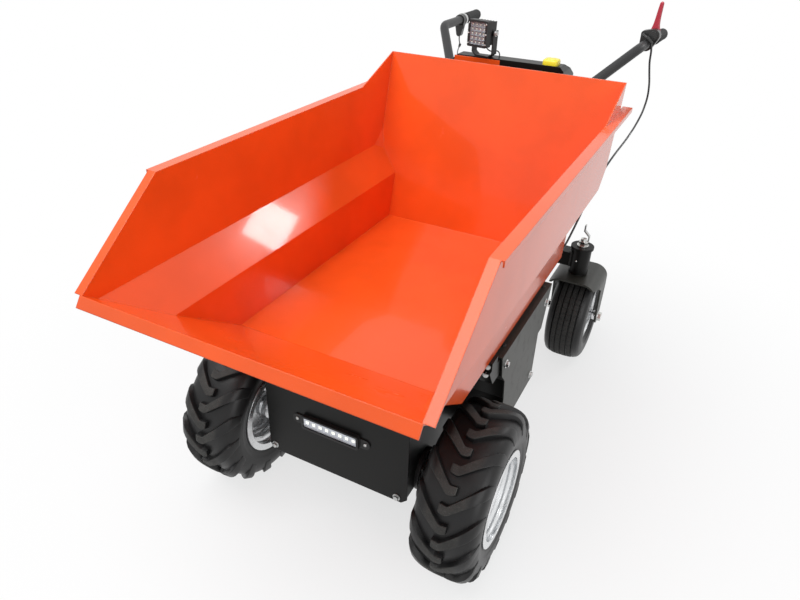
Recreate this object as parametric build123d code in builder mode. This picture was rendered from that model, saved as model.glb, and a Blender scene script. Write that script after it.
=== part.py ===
"""Site dumper: a battery walk-behind dumper with a forward-tipping sheet-steel tub, two driven
lugged wheels in front, two swivelling casters behind and a pair of handlebars with a console.

Millimetres, +Z up, the machine faces -Y.  The origin lies on the ground below the middle of the
overall length and width.
"""
from build123d import *
from math import atan2, cos, pi, radians, sin, tan
import os

# ---------------------------------------------------------------- driving dimensions
# Front wheels: 16x6.50-8 lugged tyres, driven
FRONT_TYRE_R = 203.0
FRONT_TYRE_WIDTH = 156.0
FRONT_TRACK = 622.0
FRONT_SEAT_R = 101.0
FRONT_RIM_WIDTH = 137.0
FRONT_FLANGE_R = 114.0
FRONT_WELL_DEPTH = 10.0
FRONT_DISC_INSET = 20.0
FRONT_HUB_D = 62.0
FRONT_SHAFT_D = 30.0
FRONT_SHAFT_REACH = 165.0
FRONT_BULGE_R = 148.0
FRONT_SHOULDER = (64.0, 182.0)
FRONT_CROWN_HALF = 30.0

# Lugs: bars in two staggered rows, each with a short head over the middle of the tread.
# The outline's points lie outward from the tread's middle and along it.
LUG_COUNT = 15
LUG_PHASE = -8.0
LUG_HEIGHT = 13.0
LUG_ROOT_R = 150.0
LUG_FLAT_HALF = 34.0
LUG_SHOULDER = (66.0, 196.0)
LUG_END_R = (178.0, 158.0)
LUG_OUTLINE = (
    (-14.0, 6.5),
    (-8.0, 1.5),
    (9.0, 0.0),
    (82.0, 62.0),
    (82.0, 92.0),
    (5.0, 17.5),
    (-13.5, 20.0),
)

# Rear casters: 13x5.00-6 ribbed tyres in swivelling forks
CASTER_TYRE_R = 160.5
CASTER_TYRE_WIDTH = 125.0
CASTER_TRACK = 610.0
CASTER_TRAIL = 80.0
CASTER_SEAT_R = 76.0
CASTER_RIM_WIDTH = 92.0
CASTER_FLANGE_R = 86.0
CASTER_WELL_DEPTH = 8.0
CASTER_DISC_INSET = 6.0
CASTER_HUB_D = 44.0
CASTER_HUB_LENGTH = 96.0
CASTER_SPACER_D = 30.0
CASTER_AXLE_D = 20.0
CASTER_NUT_D = 30.0
CASTER_NUT_LENGTH = 12.0
CASTER_STEM_D = 30.0
CASTER_BULGE_R = 122.0
CASTER_SHOULDER = (52.0, 152.0)
CASTER_CROWN_HALF = 30.0
GROOVE_PLACES = (-20.0, 0.0, 20.0)
GROOVE_HALF = 3.0
GROOVE_DEPTH = 5.0
RIM_SHEET = 3.5
FORK_SHEET = 6.0
FORK_GAP = 9.5
FORK_BEND = 42.0
FORK_TOP_Z = 345.0
FORK_FRONT = 70.0
FORK_REAR = 95.0
FORK_EYE_R = 24.0
FORK_WAIST = (31.0, 110.0)
FORK_LIP = 18.0
FORK_NOTCH = (50.0, 30.0)
FORK_CHEEK = (46.0, 62.0)
STEM_SHOULDER = 8.0
STEM_WASHER = 3.0
STEM_SETBACK = 862.0
STEM_THREAD_D = 18.0
STEM_NUT_D = 28.0
STEM_NUT_HEIGHT = 16.0
STEM_TIP = 8.0

# Stem housings, rear cross tube, arms and uprights
HOUSING_D = 60.0
HOUSING_BOTTOM_Z = 350.0
HOUSING_TOP_Z = 440.0
CAP_D = 70.0
CAP_THICKNESS = 8.0
TUBE = 45.0
TUBE_WALL = 3.0
TUBE_Z = 394.5
ARM_X = 130.0
UPRIGHT = 40.0
UPRIGHT_X = 140.0

# Chassis body: a narrow drive bay between the front wheels and a wide battery bay behind them
SHEET = 3.0
BODY_BOTTOM_Z = 180.0
BAY_FRONT = 87.0
DRIVE_BAY_HALF = 186.0
DRIVE_BAY_TOP_Z = 405.0
COVER_HALF = 189.0
COVER_TOP_Z = 440.0
COVER_BOTTOM_Z = 166.0
COVER_CHAMFER = 14.0
SIDE_HALF = 296.0
SIDE_TOP_Z = 455.0
SIDE_FOLD = 32.0
BAY_SETBACK = 216.0
BAY_NOSE = ((160.0, SIDE_TOP_Z), (174.0, 396.0), (203.0, 363.0), (215.0, 300.0))
BAY_REAR_LOW = 481.0
BAY_REAR_JOG = 510.0
BAY_REAR_TOP = 552.0
BAY_JOG_Z = 336.0
AXLE_HOUSING_D = 38.0
AXLE_FLANGE_D = 104.0
AXLE_FLANGE = 10.0
AXLE_BOSS_D = 72.0
AXLE_BOSS = 26.0
MOTOR_LENGTH = 160.0
MOTOR_SIZE = 130.0
BATTERY_WIDTH = 400.0
BATTERY_LENGTH = 220.0
BATTERY_HEIGHT = 190.0

# Tub: 3 mm sheet, sizes along the inside faces
TUB_SHEET = 3.0
TUB_FLOOR_Z = 478.0
TUB_FLOOR_HALF = 279.0
TUB_KNEE_IN_Z = 609.0
TUB_TOP_HALF = 342.0
TUB_KNEE_OUT_Z = 691.0
TUB_RIM_Z = 879.0
TUB_FLOOR_FRONT = 48.0
TUB_FLOOR_REAR = 680.0
TUB_LIP_REACH = 380.0
TUB_LIP_Z = 713.0
TUB_RIM_FRONT = 164.0
TUB_BACK_TOP_Z = 948.0
TUB_BACK_LEAN = 14.7
TUB_GUSSET_FRONT = 625.0
CORNER_CUT = 42.0
RIM_FLANGE = 26.0
RIM_RETURN = 12.0
RIM_TAIL = 55.0
MOUTH_FLANGE = 20.0
LIP_FLANGE = 24.0

# Tipping hinge and the ribs that carry the tub
PIVOT_Z = 440.0
PIVOT_FORWARD = 60.0
PIN_D = 20.0
PIN_HEAD = 6.0
RIB_X = 150.0
RIB_THICKNESS = 8.0
RIB_FOOT = 40.0
RIB_FOOT_THICKNESS = 4.0
RIB_REAR = 640.0
EYE_R = 16.0
BRACKET_THICKNESS = 8.0
BRACKET_FOOT = 6.0
PIVOT_PLAY = 1.0
REST_X = 275.0
REST_SETBACK = 124.0
REST_WIDTH = 30.0
REST_LENGTH = 62.0
REST_PAD = 36.0
REST_DROP = 48.0

# Handlebars, from foot to grip: x outward, y behind the axle, z
BAR_D = 28.0
BAR_FOOT = (172.0, 890.0, 848.0)
BAR_BEND = (316.0, 1108.0, 984.0)
BAR_END = (331.0, 1440.0, 980.0)
BAR_BEND_R = 55.0
GRIP_D = 36.0
GRIP_LENGTH = 125.0

# Console, lamp and switches
CONSOLE_LEFT = 172.0
CONSOLE_RIGHT = 162.0
CONSOLE_FRONT = 865.0
CONSOLE_TOP_Z = 952.0
CONSOLE_HEIGHT = 74.0
CONSOLE_DEPTH = 120.0
CONSOLE_FLAT = 48.0
CONSOLE_REAR_HEIGHT = 38.0
CONSOLE_CHAMFER = 12.0
STOP_X = 118.0
STOP_D = 44.0
STOP_HEIGHT = 15.0
STOP_BEVEL = 4.0
LAMP_WIDTH = 64.0
LAMP_HEIGHT = 72.0
LAMP_DEPTH = 60.0
LAMP_X = -87.0
LAMP_SETBACK = 868.0
LAMP_Z = 1018.0
LAMP_YAW = -12.0
LAMP_BEZEL = 24.0
LAMP_TAPER = 14.0
LAMP_CORNER = 4.0
LAMP_FINS = 6
LAMP_FIN = 4.0
LAMP_FIN_PITCH = 10.0
LAMP_FIN_DEPTH = 12.0
LAMP_FIN_TAPER = 2.0
LENS_MARGIN = 6.0
LENS_RECESS = 2.0
LENS_THICKNESS = 5.0
YOKE_SHEET = 3.0
YOKE_WIDTH = 24.0
YOKE_SETBACK = 14.0
LAMP_BOSS_D = 16.0

# Hand controls on the handlebars
CLAMP_D = 40.0
CLAMP_LENGTH = 14.0
PERCH_SETBACK = 1188.0
PERCH_LENGTH = 26.0
BOSS_CENTRE = (15.0, 25.0)
BOSS_D = 38.0
CABLE_STOP = (-11.5, 29.0)
CABLE_STOP_D = 18.0
DIAL_D = 26.0
DIAL_HEIGHT = 6.0
LEVER_SCREW_D = 10.0
LEVER_THICKNESS = 10.0
LEVER_HUB_D = 26.0
LEVER_BASE = 36.0
LEVER_LENGTH = 93.0
LEVER_TIP = 15.0
THROTTLE_SETBACK = 1256.0
THROTTLE_THICKNESS = 20.0
THROTTLE_DROP = 44.0
THROTTLE_FOOT_D = 18.0

# Cables and their glands
BRAKE_CABLE_D = 6.0
THROTTLE_CABLE_D = 4.0
GLAND_D = 13.0
GLAND_LENGTH = 10.0
GLAND_X = 214.0
GLAND_Z = 398.0
# routes: x, distance behind the front axle, z
BRAKE_ROUTE = (
    (322.0, 1166.0, 1006.0),
    (338.0, 1160.0, 994.0),
    (343.0, 1161.0, 969.0),
    (343.0, 1169.0, 940.0),
    (347.0, 1187.0, 905.0),
    (352.0, 1212.0, 865.0),
    (354.0, 1226.0, 820.0),
    (350.0, 1212.0, 775.0),
    (343.0, 1160.0, 742.0),
    (335.0, 1080.0, 718.0),
    (324.0, 990.0, 698.0),
    (311.0, 905.0, 664.0),
    (299.0, 838.0, 610.0),
    (289.0, 785.0, 548.0),
    (276.0, 738.0, 486.0),
    (258.0, 690.0, 440.0),
    (238.0, 640.0, 412.0),
)
THROTTLE_ROUTE = (
    (-314.0, 1254.0, 903.0),
    (-303.0, 1218.0, 899.0),
    (-286.0, 1168.0, 897.0),
    (-263.0, 1114.0, 898.0),
    (-239.0, 1061.0, 902.0),
    (-216.0, 1009.0, 908.0),
)
LAMP_WIRE_D = 3.5
LAMP_WIRE_X = (-76.0, -40.0)
LAMP_WIRE_SETBACK = (878.0, 896.0)

# Swivel locks on the stem housings
LOCK_X = 317.0
LOCK_SETBACK = 20.0
LOCK_SHEET = 4.0
LOCK_WIDTH = 12.0
LOCK_KNEE = 24.0
LOCK_JOG = 16.0
LOCK_HEIGHT = 58.0

# Light bar on the front cover
LIGHT_BAR_X = -9.0
LIGHT_BAR_Z = 303.0
LIGHT_BAR_LENGTH = 152.0
LIGHT_BAR_HEIGHT = 38.0
LIGHT_BAR_DEPTH = 10.0
LIGHT_PLATE_LENGTH = 206.0
LIGHT_PLATE_HEIGHT = 26.0
LIGHT_LENS_MARGIN = 5.0

# Fits
RUNNING = 0.05          # radial clearance of a running shaft
SEAT_GAP = 0.3          # play between curved or moving faces that seat on each other

# ---------------------------------------------------------------- places worked out
SLOPE = atan2(TUB_LIP_Z - TUB_FLOOR_Z, TUB_LIP_REACH - TUB_FLOOR_FRONT)
overall_front = TUB_LIP_REACH + LIP_FLANGE * sin(SLOPE) + TUB_SHEET * cos(SLOPE)
bar_run = Vector(*BAR_END) - Vector(*BAR_BEND)
overall_rear = BAR_END[1] + GRIP_D / 2 * bar_run.X / bar_run.length
AXLE_Y = (overall_front - overall_rear) / 2


def station(behind_axle):
    """Y of a point that lies the given distance behind the front axle."""
    return AXLE_Y + behind_axle


def side_points(pairs):
    """Side-view points (distance behind the axle, height) as points of a YZ sketch."""
    return [(station(back), height) for back, height in pairs]


STEM_Y = station(STEM_SETBACK)
CASTER_Y = STEM_Y + CASTER_TRAIL
PIVOT_Y = station(-PIVOT_FORWARD)
BAY_FRONT_Y = station(-BAY_FRONT)
FRONT_X = FRONT_TRACK / 2
CASTER_X = CASTER_TRACK / 2
tan_lean = tan(radians(TUB_BACK_LEAN))
sides = (("left", -1), ("right", 1))


def save(part, name):
    """Label a finished piece and write it under its own name."""
    part.label = name
    export_step(part, f"parts/{name}.step")


def x_plane(x):
    """Sketch plane square to X: sketch x is Y, sketch y is Z."""
    return Plane.YZ.offset(x)


def y_plane(y):
    """Sketch plane square to Y: sketch x is X, sketch y is Z, extruding towards the rear."""
    return Plane(origin=(0, y, 0), x_dir=(1, 0, 0), z_dir=(0, -1, 0))


os.makedirs("parts", exist_ok=True)


# ---------------------------------------------------------------- wheels
def tyre_section(crown_r, crown_half, shoulder, bulge, seat_r, rim_width, flange_r):
    """Closed half-plane outline of a tyre round the X axis: crown, shoulders, sidewalls, beads."""
    bead = rim_width / 2 - SEAT_GAP
    right = [
        (crown_half, crown_r),
        shoulder,
        bulge,
        (bead, flange_r + 4),
        (bead, seat_r + SEAT_GAP),
    ]
    left = [(-across, height) for across, height in reversed(right)]
    Polygon(*right, *left, align=None)


def rim_sheet(seat_r, rim_width, flange_r, well):
    """Rolled rim: flanges, bead seats and drop centre in one thickness of sheet."""
    edge = rim_width / 2
    drop = seat_r - well
    Polyline(
        (edge + RIM_SHEET, flange_r),
        (edge, flange_r),
        (edge, seat_r),
        (edge - 20, seat_r),
        (edge - 26, drop),
        (-edge + 26, drop),
        (-edge + 20, seat_r),
        (-edge, seat_r),
        (-edge, flange_r),
        (-edge - RIM_SHEET, flange_r),
        (-edge - RIM_SHEET, seat_r - RIM_SHEET),
        (-edge + 20 - RIM_SHEET, seat_r - RIM_SHEET),
        (-edge + 26 - RIM_SHEET, drop - RIM_SHEET),
        (edge - 26 + RIM_SHEET, drop - RIM_SHEET),
        (edge - 20 + RIM_SHEET, seat_r - RIM_SHEET),
        (edge + RIM_SHEET, seat_r - RIM_SHEET),
        close=True,
    )


half_plane = Plane(origin=(0, 0, 0), x_dir=(1, 0, 0), z_dir=(0, -1, 0))
lug_middle = (LUG_OUTLINE[2][1] + LUG_OUTLINE[4][1]) / 2
lug_end = FRONT_TYRE_WIDTH / 2
with BuildPart() as lugs:
    for outward, lead in ((1, 0.0), (-1, 0.5)):
        for index in range(LUG_COUNT):
            turn = 2 * pi * (index + lead) / LUG_COUNT + radians(LUG_PHASE)
            spoke = Vector(0, -cos(turn), sin(turn))
            with BuildSketch(Plane(origin=spoke * LUG_ROOT_R, x_dir=(outward, 0, 0), z_dir=spoke)):
                Polygon(
                    *[(out, outward * (along - lug_middle)) for out, along in LUG_OUTLINE],
                    align=None,
                )
            extrude(amount=FRONT_TYRE_R + LUG_HEIGHT - LUG_ROOT_R)
    with BuildSketch(half_plane):
        Polygon(
            (-LUG_FLAT_HALF, FRONT_TYRE_R),
            (LUG_FLAT_HALF, FRONT_TYRE_R),
            LUG_SHOULDER,
            (lug_end, LUG_END_R[0]),
            (lug_end, LUG_END_R[1]),
            (LUG_SHOULDER[0], LUG_ROOT_R + LUG_HEIGHT),
            (-LUG_SHOULDER[0], LUG_ROOT_R + LUG_HEIGHT),
            (-lug_end, LUG_END_R[1]),
            (-lug_end, LUG_END_R[0]),
            (-LUG_SHOULDER[0], LUG_SHOULDER[1]),
            align=None,
        )
    revolve(axis=Axis.X, mode=Mode.INTERSECT)

with BuildPart() as lugged_tyre:
    with BuildSketch(half_plane):
        tyre_section(
            FRONT_TYRE_R - LUG_HEIGHT,
            FRONT_CROWN_HALF,
            FRONT_SHOULDER,
            (lug_end - 1, FRONT_BULGE_R),
            FRONT_SEAT_R,
            FRONT_RIM_WIDTH,
            FRONT_FLANGE_R,
        )
    revolve(axis=Axis.X)
    add(lugs.part)

with BuildPart() as ribbed_tyre:
    with BuildSketch(half_plane):
        tyre_section(
            CASTER_TYRE_R,
            CASTER_CROWN_HALF,
            CASTER_SHOULDER,
            (CASTER_TYRE_WIDTH / 2, CASTER_BULGE_R),
            CASTER_SEAT_R,
            CASTER_RIM_WIDTH,
            CASTER_FLANGE_R,
        )
        for middle in GROOVE_PLACES:
            Polygon(
                (middle - GROOVE_HALF, CASTER_TYRE_R),
                (middle, CASTER_TYRE_R - GROOVE_DEPTH),
                (middle + GROOVE_HALF, CASTER_TYRE_R),
                align=None,
                mode=Mode.SUBTRACT,
            )
    revolve(axis=Axis.X)

for side, sign in sides:
    hub = Location((sign * FRONT_X, AXLE_Y, FRONT_TYRE_R))
    section = Plane(origin=hub.position, x_dir=(sign, 0, 0), z_dir=(0, -sign, 0))
    spin = Axis(hub.position, (1, 0, 0))
    save(lugged_tyre.part.moved(hub), f"front_tyre_{side}")

    barrel = FRONT_SEAT_R - FRONT_WELL_DEPTH - RIM_SHEET / 2
    with BuildPart() as front_rim:
        with BuildSketch(section):
            with BuildLine():
                rim_sheet(FRONT_SEAT_R, FRONT_RIM_WIDTH, FRONT_FLANGE_R, FRONT_WELL_DEPTH)
            make_face()
            with BuildLine():
                Polyline(
                    (-FRONT_SHAFT_REACH, 0),
                    (-FRONT_SHAFT_REACH, FRONT_SHAFT_D / 2),
                    (-FRONT_DISC_INSET - 40, FRONT_SHAFT_D / 2),
                    (-FRONT_DISC_INSET - 40, FRONT_HUB_D / 2),
                    (-FRONT_DISC_INSET, FRONT_HUB_D / 2),
                    (-FRONT_DISC_INSET, barrel),
                    (-FRONT_DISC_INSET + 5, barrel),
                    (-FRONT_DISC_INSET + 5, FRONT_HUB_D / 2),
                    (-FRONT_DISC_INSET + 18, FRONT_HUB_D / 2 - 4),
                    (-FRONT_DISC_INSET + 18, 0),
                    close=True,
                )
            make_face()
        revolve(axis=spin)
    save(front_rim.part, f"front_rim_{side}")

    hub = Location((sign * CASTER_X, CASTER_Y, CASTER_TYRE_R))
    section = Plane(origin=hub.position, x_dir=(sign, 0, 0), z_dir=(0, -sign, 0))
    spin = Axis(hub.position, (1, 0, 0))

    save(ribbed_tyre.part.moved(hub), f"caster_tyre_{side}")

    barrel = CASTER_SEAT_R - CASTER_WELL_DEPTH - RIM_SHEET / 2
    bore = CASTER_AXLE_D / 2 + RUNNING
    spacer_end = CASTER_TYRE_WIDTH / 2 + FORK_GAP - SEAT_GAP
    with BuildPart() as caster_rim:
        with BuildSketch(section):
            with BuildLine():
                rim_sheet(CASTER_SEAT_R, CASTER_RIM_WIDTH, CASTER_FLANGE_R, CASTER_WELL_DEPTH)
            make_face()
            with BuildLine():
                Polyline(
                    (-spacer_end, bore),
                    (-spacer_end, CASTER_SPACER_D / 2),
                    (-CASTER_HUB_LENGTH / 2, CASTER_SPACER_D / 2),
                    (-CASTER_HUB_LENGTH / 2, CASTER_HUB_D / 2),
                    (-CASTER_DISC_INSET, CASTER_HUB_D / 2),
                    (-CASTER_DISC_INSET, barrel),
                    (CASTER_DISC_INSET, barrel),
                    (CASTER_DISC_INSET, CASTER_HUB_D / 2),
                    (CASTER_HUB_LENGTH / 2, CASTER_HUB_D / 2),
                    (CASTER_HUB_LENGTH / 2, CASTER_SPACER_D / 2),
                    (spacer_end, CASTER_SPACER_D / 2),
                    (spacer_end, bore),
                    close=True,
                )
            make_face()
        revolve(axis=spin)
    save(caster_rim.part, f"caster_rim_{side}")


# ---------------------------------------------------------------- caster forks
fork_half = CASTER_TYRE_WIDTH / 2 + FORK_GAP + FORK_SHEET
for side, sign in sides:
    stem = (sign * CASTER_X, STEM_Y)
    with BuildPart() as caster_fork:
        with BuildSketch(Plane(origin=(stem[0], STEM_Y, 0), x_dir=(1, 0, 0), z_dir=(0, -1, 0))):
            with Locations((0, FORK_TOP_Z / 2)):
                Rectangle(2 * fork_half, FORK_TOP_Z)
                Rectangle(2 * fork_half - 2 * FORK_SHEET, FORK_TOP_Z - 2 * FORK_SHEET, mode=Mode.SUBTRACT)
        extrude(amount=2 * CASTER_TYRE_R, both=True)
        for level, radius in ((-2, FORK_BEND - FORK_SHEET), (-1, FORK_BEND)):
            bends = caster_fork.edges().filter_by(Axis.Y).group_by(Axis.Z)[level]
            fillet(bends, radius=radius)
        with BuildSketch(x_plane(stem[0])):
            with BuildLine():
                Polyline(
                    (CASTER_Y + FORK_EYE_R, CASTER_TYRE_R),
                    (CASTER_Y + FORK_WAIST[0], CASTER_TYRE_R + FORK_WAIST[1]),
                    (STEM_Y + FORK_REAR, FORK_TOP_Z),
                    (STEM_Y - FORK_FRONT, FORK_TOP_Z),
                    (STEM_Y - FORK_FRONT, FORK_TOP_Z - FORK_LIP),
                    (STEM_Y - FORK_FRONT + FORK_NOTCH[0], FORK_TOP_Z - FORK_NOTCH[1]),
                    (CASTER_Y - FORK_CHEEK[0], FORK_TOP_Z - FORK_CHEEK[1]),
                    (CASTER_Y - FORK_EYE_R, CASTER_TYRE_R),
                )
                ThreePointArc(
                    (CASTER_Y - FORK_EYE_R, CASTER_TYRE_R),
                    (CASTER_Y, CASTER_TYRE_R - FORK_EYE_R),
                    (CASTER_Y + FORK_EYE_R, CASTER_TYRE_R),
                )
            make_face()
        extrude(amount=fork_half, both=True, mode=Mode.INTERSECT)
        # axle bolt through both cheeks with its nuts outside
        with BuildSketch(Plane.YZ.offset(stem[0])):
            with Locations((CASTER_Y, CASTER_TYRE_R)):
                Circle(CASTER_AXLE_D / 2)
        extrude(amount=fork_half + CASTER_NUT_LENGTH, both=True)
        for outward in (-1, 1):
            with BuildSketch(Plane.YZ.offset(stem[0] + outward * fork_half)):
                with Locations((CASTER_Y, CASTER_TYRE_R)):
                    RegularPolygon(CASTER_NUT_D / 2, 6)
            extrude(amount=outward * CASTER_NUT_LENGTH)
        # stem with its thrust shoulder, washer and nut
        with BuildSketch(Plane.XY.offset(FORK_TOP_Z)):
            with Locations(stem):
                Circle(CASTER_STEM_D / 2 + STEM_SHOULDER)
        extrude(amount=HOUSING_BOTTOM_Z - FORK_TOP_Z - SEAT_GAP)
        with BuildSketch(Plane.XY.offset(FORK_TOP_Z)):
            with Locations(stem):
                Circle(CASTER_STEM_D / 2)
        extrude(amount=HOUSING_TOP_Z - FORK_TOP_Z)
        with BuildSketch(Plane.XY.offset(HOUSING_TOP_Z)):
            with Locations(stem):
                Circle(STEM_THREAD_D / 2)
        extrude(amount=STEM_NUT_HEIGHT + STEM_TIP)
        with BuildSketch(Plane.XY.offset(HOUSING_TOP_Z + SEAT_GAP)):
            with Locations(stem):
                Circle(STEM_NUT_D / 2 + 4)
        extrude(amount=STEM_WASHER)
        with BuildSketch(Plane.XY.offset(HOUSING_TOP_Z + SEAT_GAP + STEM_WASHER)):
            with Locations(stem):
                RegularPolygon(STEM_NUT_D / 2, 6)
        extrude(amount=STEM_NUT_HEIGHT - STEM_WASHER)
    save(caster_fork.part, f"caster_fork_{side}")


# ---------------------------------------------------------------- rear frame
with BuildPart() as cross_tube:
    with BuildSketch(x_plane(0)):
        with Locations((STEM_Y, TUBE_Z)):
            Rectangle(TUBE, TUBE)
    extrude(amount=CASTER_X, both=True)
    for sign in (-1, 1):
        with BuildSketch(Plane.XY.offset(HOUSING_BOTTOM_Z)):
            with Locations((sign * CASTER_X, STEM_Y)):
                Circle(HOUSING_D / 2)
        extrude(amount=HOUSING_TOP_Z - HOUSING_BOTTOM_Z)
        with BuildSketch(Plane.XY.offset(HOUSING_TOP_Z - CAP_THICKNESS)):
            with Locations((sign * CASTER_X, STEM_Y)):
                Circle(CAP_D / 2)
        extrude(amount=CAP_THICKNESS)
        with BuildSketch(Plane.XY.offset(HOUSING_BOTTOM_Z)):
            with Locations((sign * CASTER_X, STEM_Y)):
                Circle(CASTER_STEM_D / 2 + RUNNING)
        extrude(amount=HOUSING_TOP_Z - HOUSING_BOTTOM_Z, mode=Mode.SUBTRACT)
save(cross_tube.part, "rear_cross_tube")

bay_outline = side_points(
    (
        *BAY_NOSE,
        (BAY_SETBACK, BAY_NOSE[-1][1]),
        (BAY_SETBACK, BODY_BOTTOM_Z),
        (BAY_REAR_LOW, BODY_BOTTOM_Z),
        (BAY_REAR_LOW, BAY_JOG_Z),
        (BAY_REAR_JOG, BAY_JOG_Z),
        (BAY_REAR_TOP, SIDE_TOP_Z),
    )
)


def bay_rear_y(z):
    """Y of the battery bay's leaning rear wall at height z."""
    lean = (BAY_REAR_TOP - BAY_REAR_JOG) / (SIDE_TOP_Z - BAY_JOG_Z)
    return station(BAY_REAR_JOG + (z - BAY_JOG_Z) * lean)


arm_low = TUBE_Z - TUBE / 2
arm_high = TUBE_Z + TUBE / 2
arm_rear = STEM_Y - TUBE / 2
with BuildPart() as rear_arms:
    for sign in (-1, 1):
        with BuildSketch(x_plane(sign * ARM_X)):
            Polygon(
                (bay_rear_y(arm_low), arm_low),
                (arm_rear, arm_low),
                (arm_rear, arm_high),
                (bay_rear_y(arm_high), arm_high),
                align=None,
            )
        extrude(amount=TUBE / 2, both=True)
        with BuildSketch(y_plane(arm_rear)):
            with Locations((sign * ARM_X, TUBE_Z)):
                Rectangle(TUBE - 2 * TUBE_WALL, TUBE - 2 * TUBE_WALL)
        extrude(amount=BAY_REAR_TOP, mode=Mode.SUBTRACT)
save(rear_arms.part, "rear_arms")

with BuildPart() as uprights:
    with BuildSketch(Plane.XY.offset(arm_high)):
        with Locations((-UPRIGHT_X, STEM_Y), (UPRIGHT_X, STEM_Y)):
            Rectangle(UPRIGHT, UPRIGHT)
            Rectangle(UPRIGHT - 2 * TUBE_WALL, UPRIGHT - 2 * TUBE_WALL, mode=Mode.SUBTRACT)
    extrude(amount=CONSOLE_TOP_Z - CONSOLE_HEIGHT - arm_high)
save(uprights.part, "uprights")


# ---------------------------------------------------------------- chassis body
with BuildPart() as battery_bay:
    with BuildSketch(x_plane(0)):
        Polygon(*bay_outline, align=None)
        offset(amount=-SHEET, kind=Kind.INTERSECTION, mode=Mode.SUBTRACT)
    extrude(amount=SIDE_HALF - SHEET, both=True)
    with BuildSketch(y_plane(bay_rear_y(GLAND_Z) + GLAND_LENGTH)):
        with Locations((GLAND_X, GLAND_Z)):
            Circle(GLAND_D / 2)
    extrude(amount=GLAND_LENGTH + 2)
save(battery_bay.part, "battery_bay")

rest_top = TUB_FLOOR_Z - TUB_SHEET - SEAT_GAP
with BuildPart() as tub_rests:
    for sign in (-1, 1):
        # bracket on the bay's front edge with a rubber-topped pad under the tub's floor
        with BuildSketch(x_plane(sign * REST_X)):
            Polygon(
                (station(REST_SETBACK - REST_LENGTH / 2), SIDE_TOP_Z),
                (bay_outline[0][0], SIDE_TOP_Z),
                (bay_outline[1][0], SIDE_TOP_Z - REST_DROP),
                (station(REST_SETBACK), SIDE_TOP_Z - REST_DROP),
                align=None,
            )
            Polygon(*bay_outline, align=None, mode=Mode.SUBTRACT)
        extrude(amount=REST_WIDTH / 2, both=True)
        with BuildSketch(Plane.XY.offset(SIDE_TOP_Z)):
            with Locations((sign * REST_X, station(REST_SETBACK))):
                Rectangle(REST_WIDTH, REST_PAD)
        extrude(amount=rest_top - SIDE_TOP_Z)
save(tub_rests.part, "tub_rests")

with BuildPart() as drive_bay:
    with BuildSketch(y_plane(BAY_FRONT_Y)):
        with Locations((0, (BODY_BOTTOM_Z + DRIVE_BAY_TOP_Z) / 2)):
            Rectangle(2 * DRIVE_BAY_HALF, DRIVE_BAY_TOP_Z - BODY_BOTTOM_Z)
            Rectangle(
                2 * DRIVE_BAY_HALF - 2 * SHEET,
                DRIVE_BAY_TOP_Z - BODY_BOTTOM_Z - 2 * SHEET,
                mode=Mode.SUBTRACT,
            )
    extrude(amount=-(BAY_FRONT + BAY_SETBACK))
    with BuildSketch(x_plane(0)):
        Polygon(*bay_outline, align=None)
    extrude(amount=SIDE_HALF, both=True, mode=Mode.SUBTRACT)
    with BuildSketch(x_plane(0)):
        with Locations((AXLE_Y, FRONT_TYRE_R)):
            Circle(AXLE_HOUSING_D / 2 + SEAT_GAP)
    extrude(amount=SIDE_HALF, both=True, mode=Mode.SUBTRACT)
save(drive_bay.part, "drive_bay")

with BuildPart() as front_cover:
    with BuildSketch(y_plane(BAY_FRONT_Y)):
        with Locations((0, (COVER_BOTTOM_Z + COVER_TOP_Z) / 2)):
            Rectangle(2 * COVER_HALF, COVER_TOP_Z - COVER_BOTTOM_Z)
    extrude(amount=SHEET)
    corners = front_cover.edges().filter_by(Axis.Y).group_by(Axis.Z)[0]
    chamfer(corners, length=COVER_CHAMFER)
save(front_cover.part, "front_cover")

for side, sign in sides:
    with BuildPart() as side_cover:
        with BuildSketch(x_plane(sign * SIDE_HALF)):
            Polygon(*bay_outline, align=None)
        extrude(amount=-sign * SHEET)
        with BuildSketch(Plane.XY.offset(SIDE_TOP_Z)):
            with Locations((sign * (SIDE_HALF - SIDE_FOLD / 2), (bay_outline[0][0] + bay_outline[-1][0]) / 2)):
                Rectangle(SIDE_FOLD, bay_outline[-1][0] - bay_outline[0][0])
        extrude(amount=SHEET)
        with BuildSketch(Plane.XY.offset(SIDE_TOP_Z)):
            with Locations((sign * (SIDE_HALF - SHEET / 2), (bay_outline[0][0] + bay_outline[-1][0]) / 2)):
                Rectangle(SHEET, bay_outline[-1][0] - bay_outline[0][0])
        extrude(amount=SHEET)
    save(side_cover.part, f"side_cover_{side}")

with BuildPart() as axle_housing:
    with BuildSketch(x_plane(0)):
        with Locations((AXLE_Y, FRONT_TYRE_R)):
            Circle(AXLE_HOUSING_D / 2)
    extrude(amount=DRIVE_BAY_HALF, both=True)
    for sign in (-1, 1):
        with BuildSketch(x_plane(sign * DRIVE_BAY_HALF)):
            with Locations((AXLE_Y, FRONT_TYRE_R)):
                Circle(AXLE_FLANGE_D / 2)
        extrude(amount=sign * AXLE_FLANGE)
        with BuildSketch(x_plane(sign * (DRIVE_BAY_HALF + AXLE_FLANGE))):
            with Locations((AXLE_Y, FRONT_TYRE_R)):
                Circle(AXLE_BOSS_D / 2)
        extrude(amount=sign * AXLE_BOSS)
        with BuildSketch(x_plane(sign * (FRONT_X - FRONT_SHAFT_REACH - 5))):
            with Locations((AXLE_Y, FRONT_TYRE_R)):
                Circle(FRONT_SHAFT_D / 2 + RUNNING)
        extrude(amount=sign * FRONT_SHAFT_REACH, mode=Mode.SUBTRACT)
save(axle_housing.part, "axle_housing")

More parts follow.
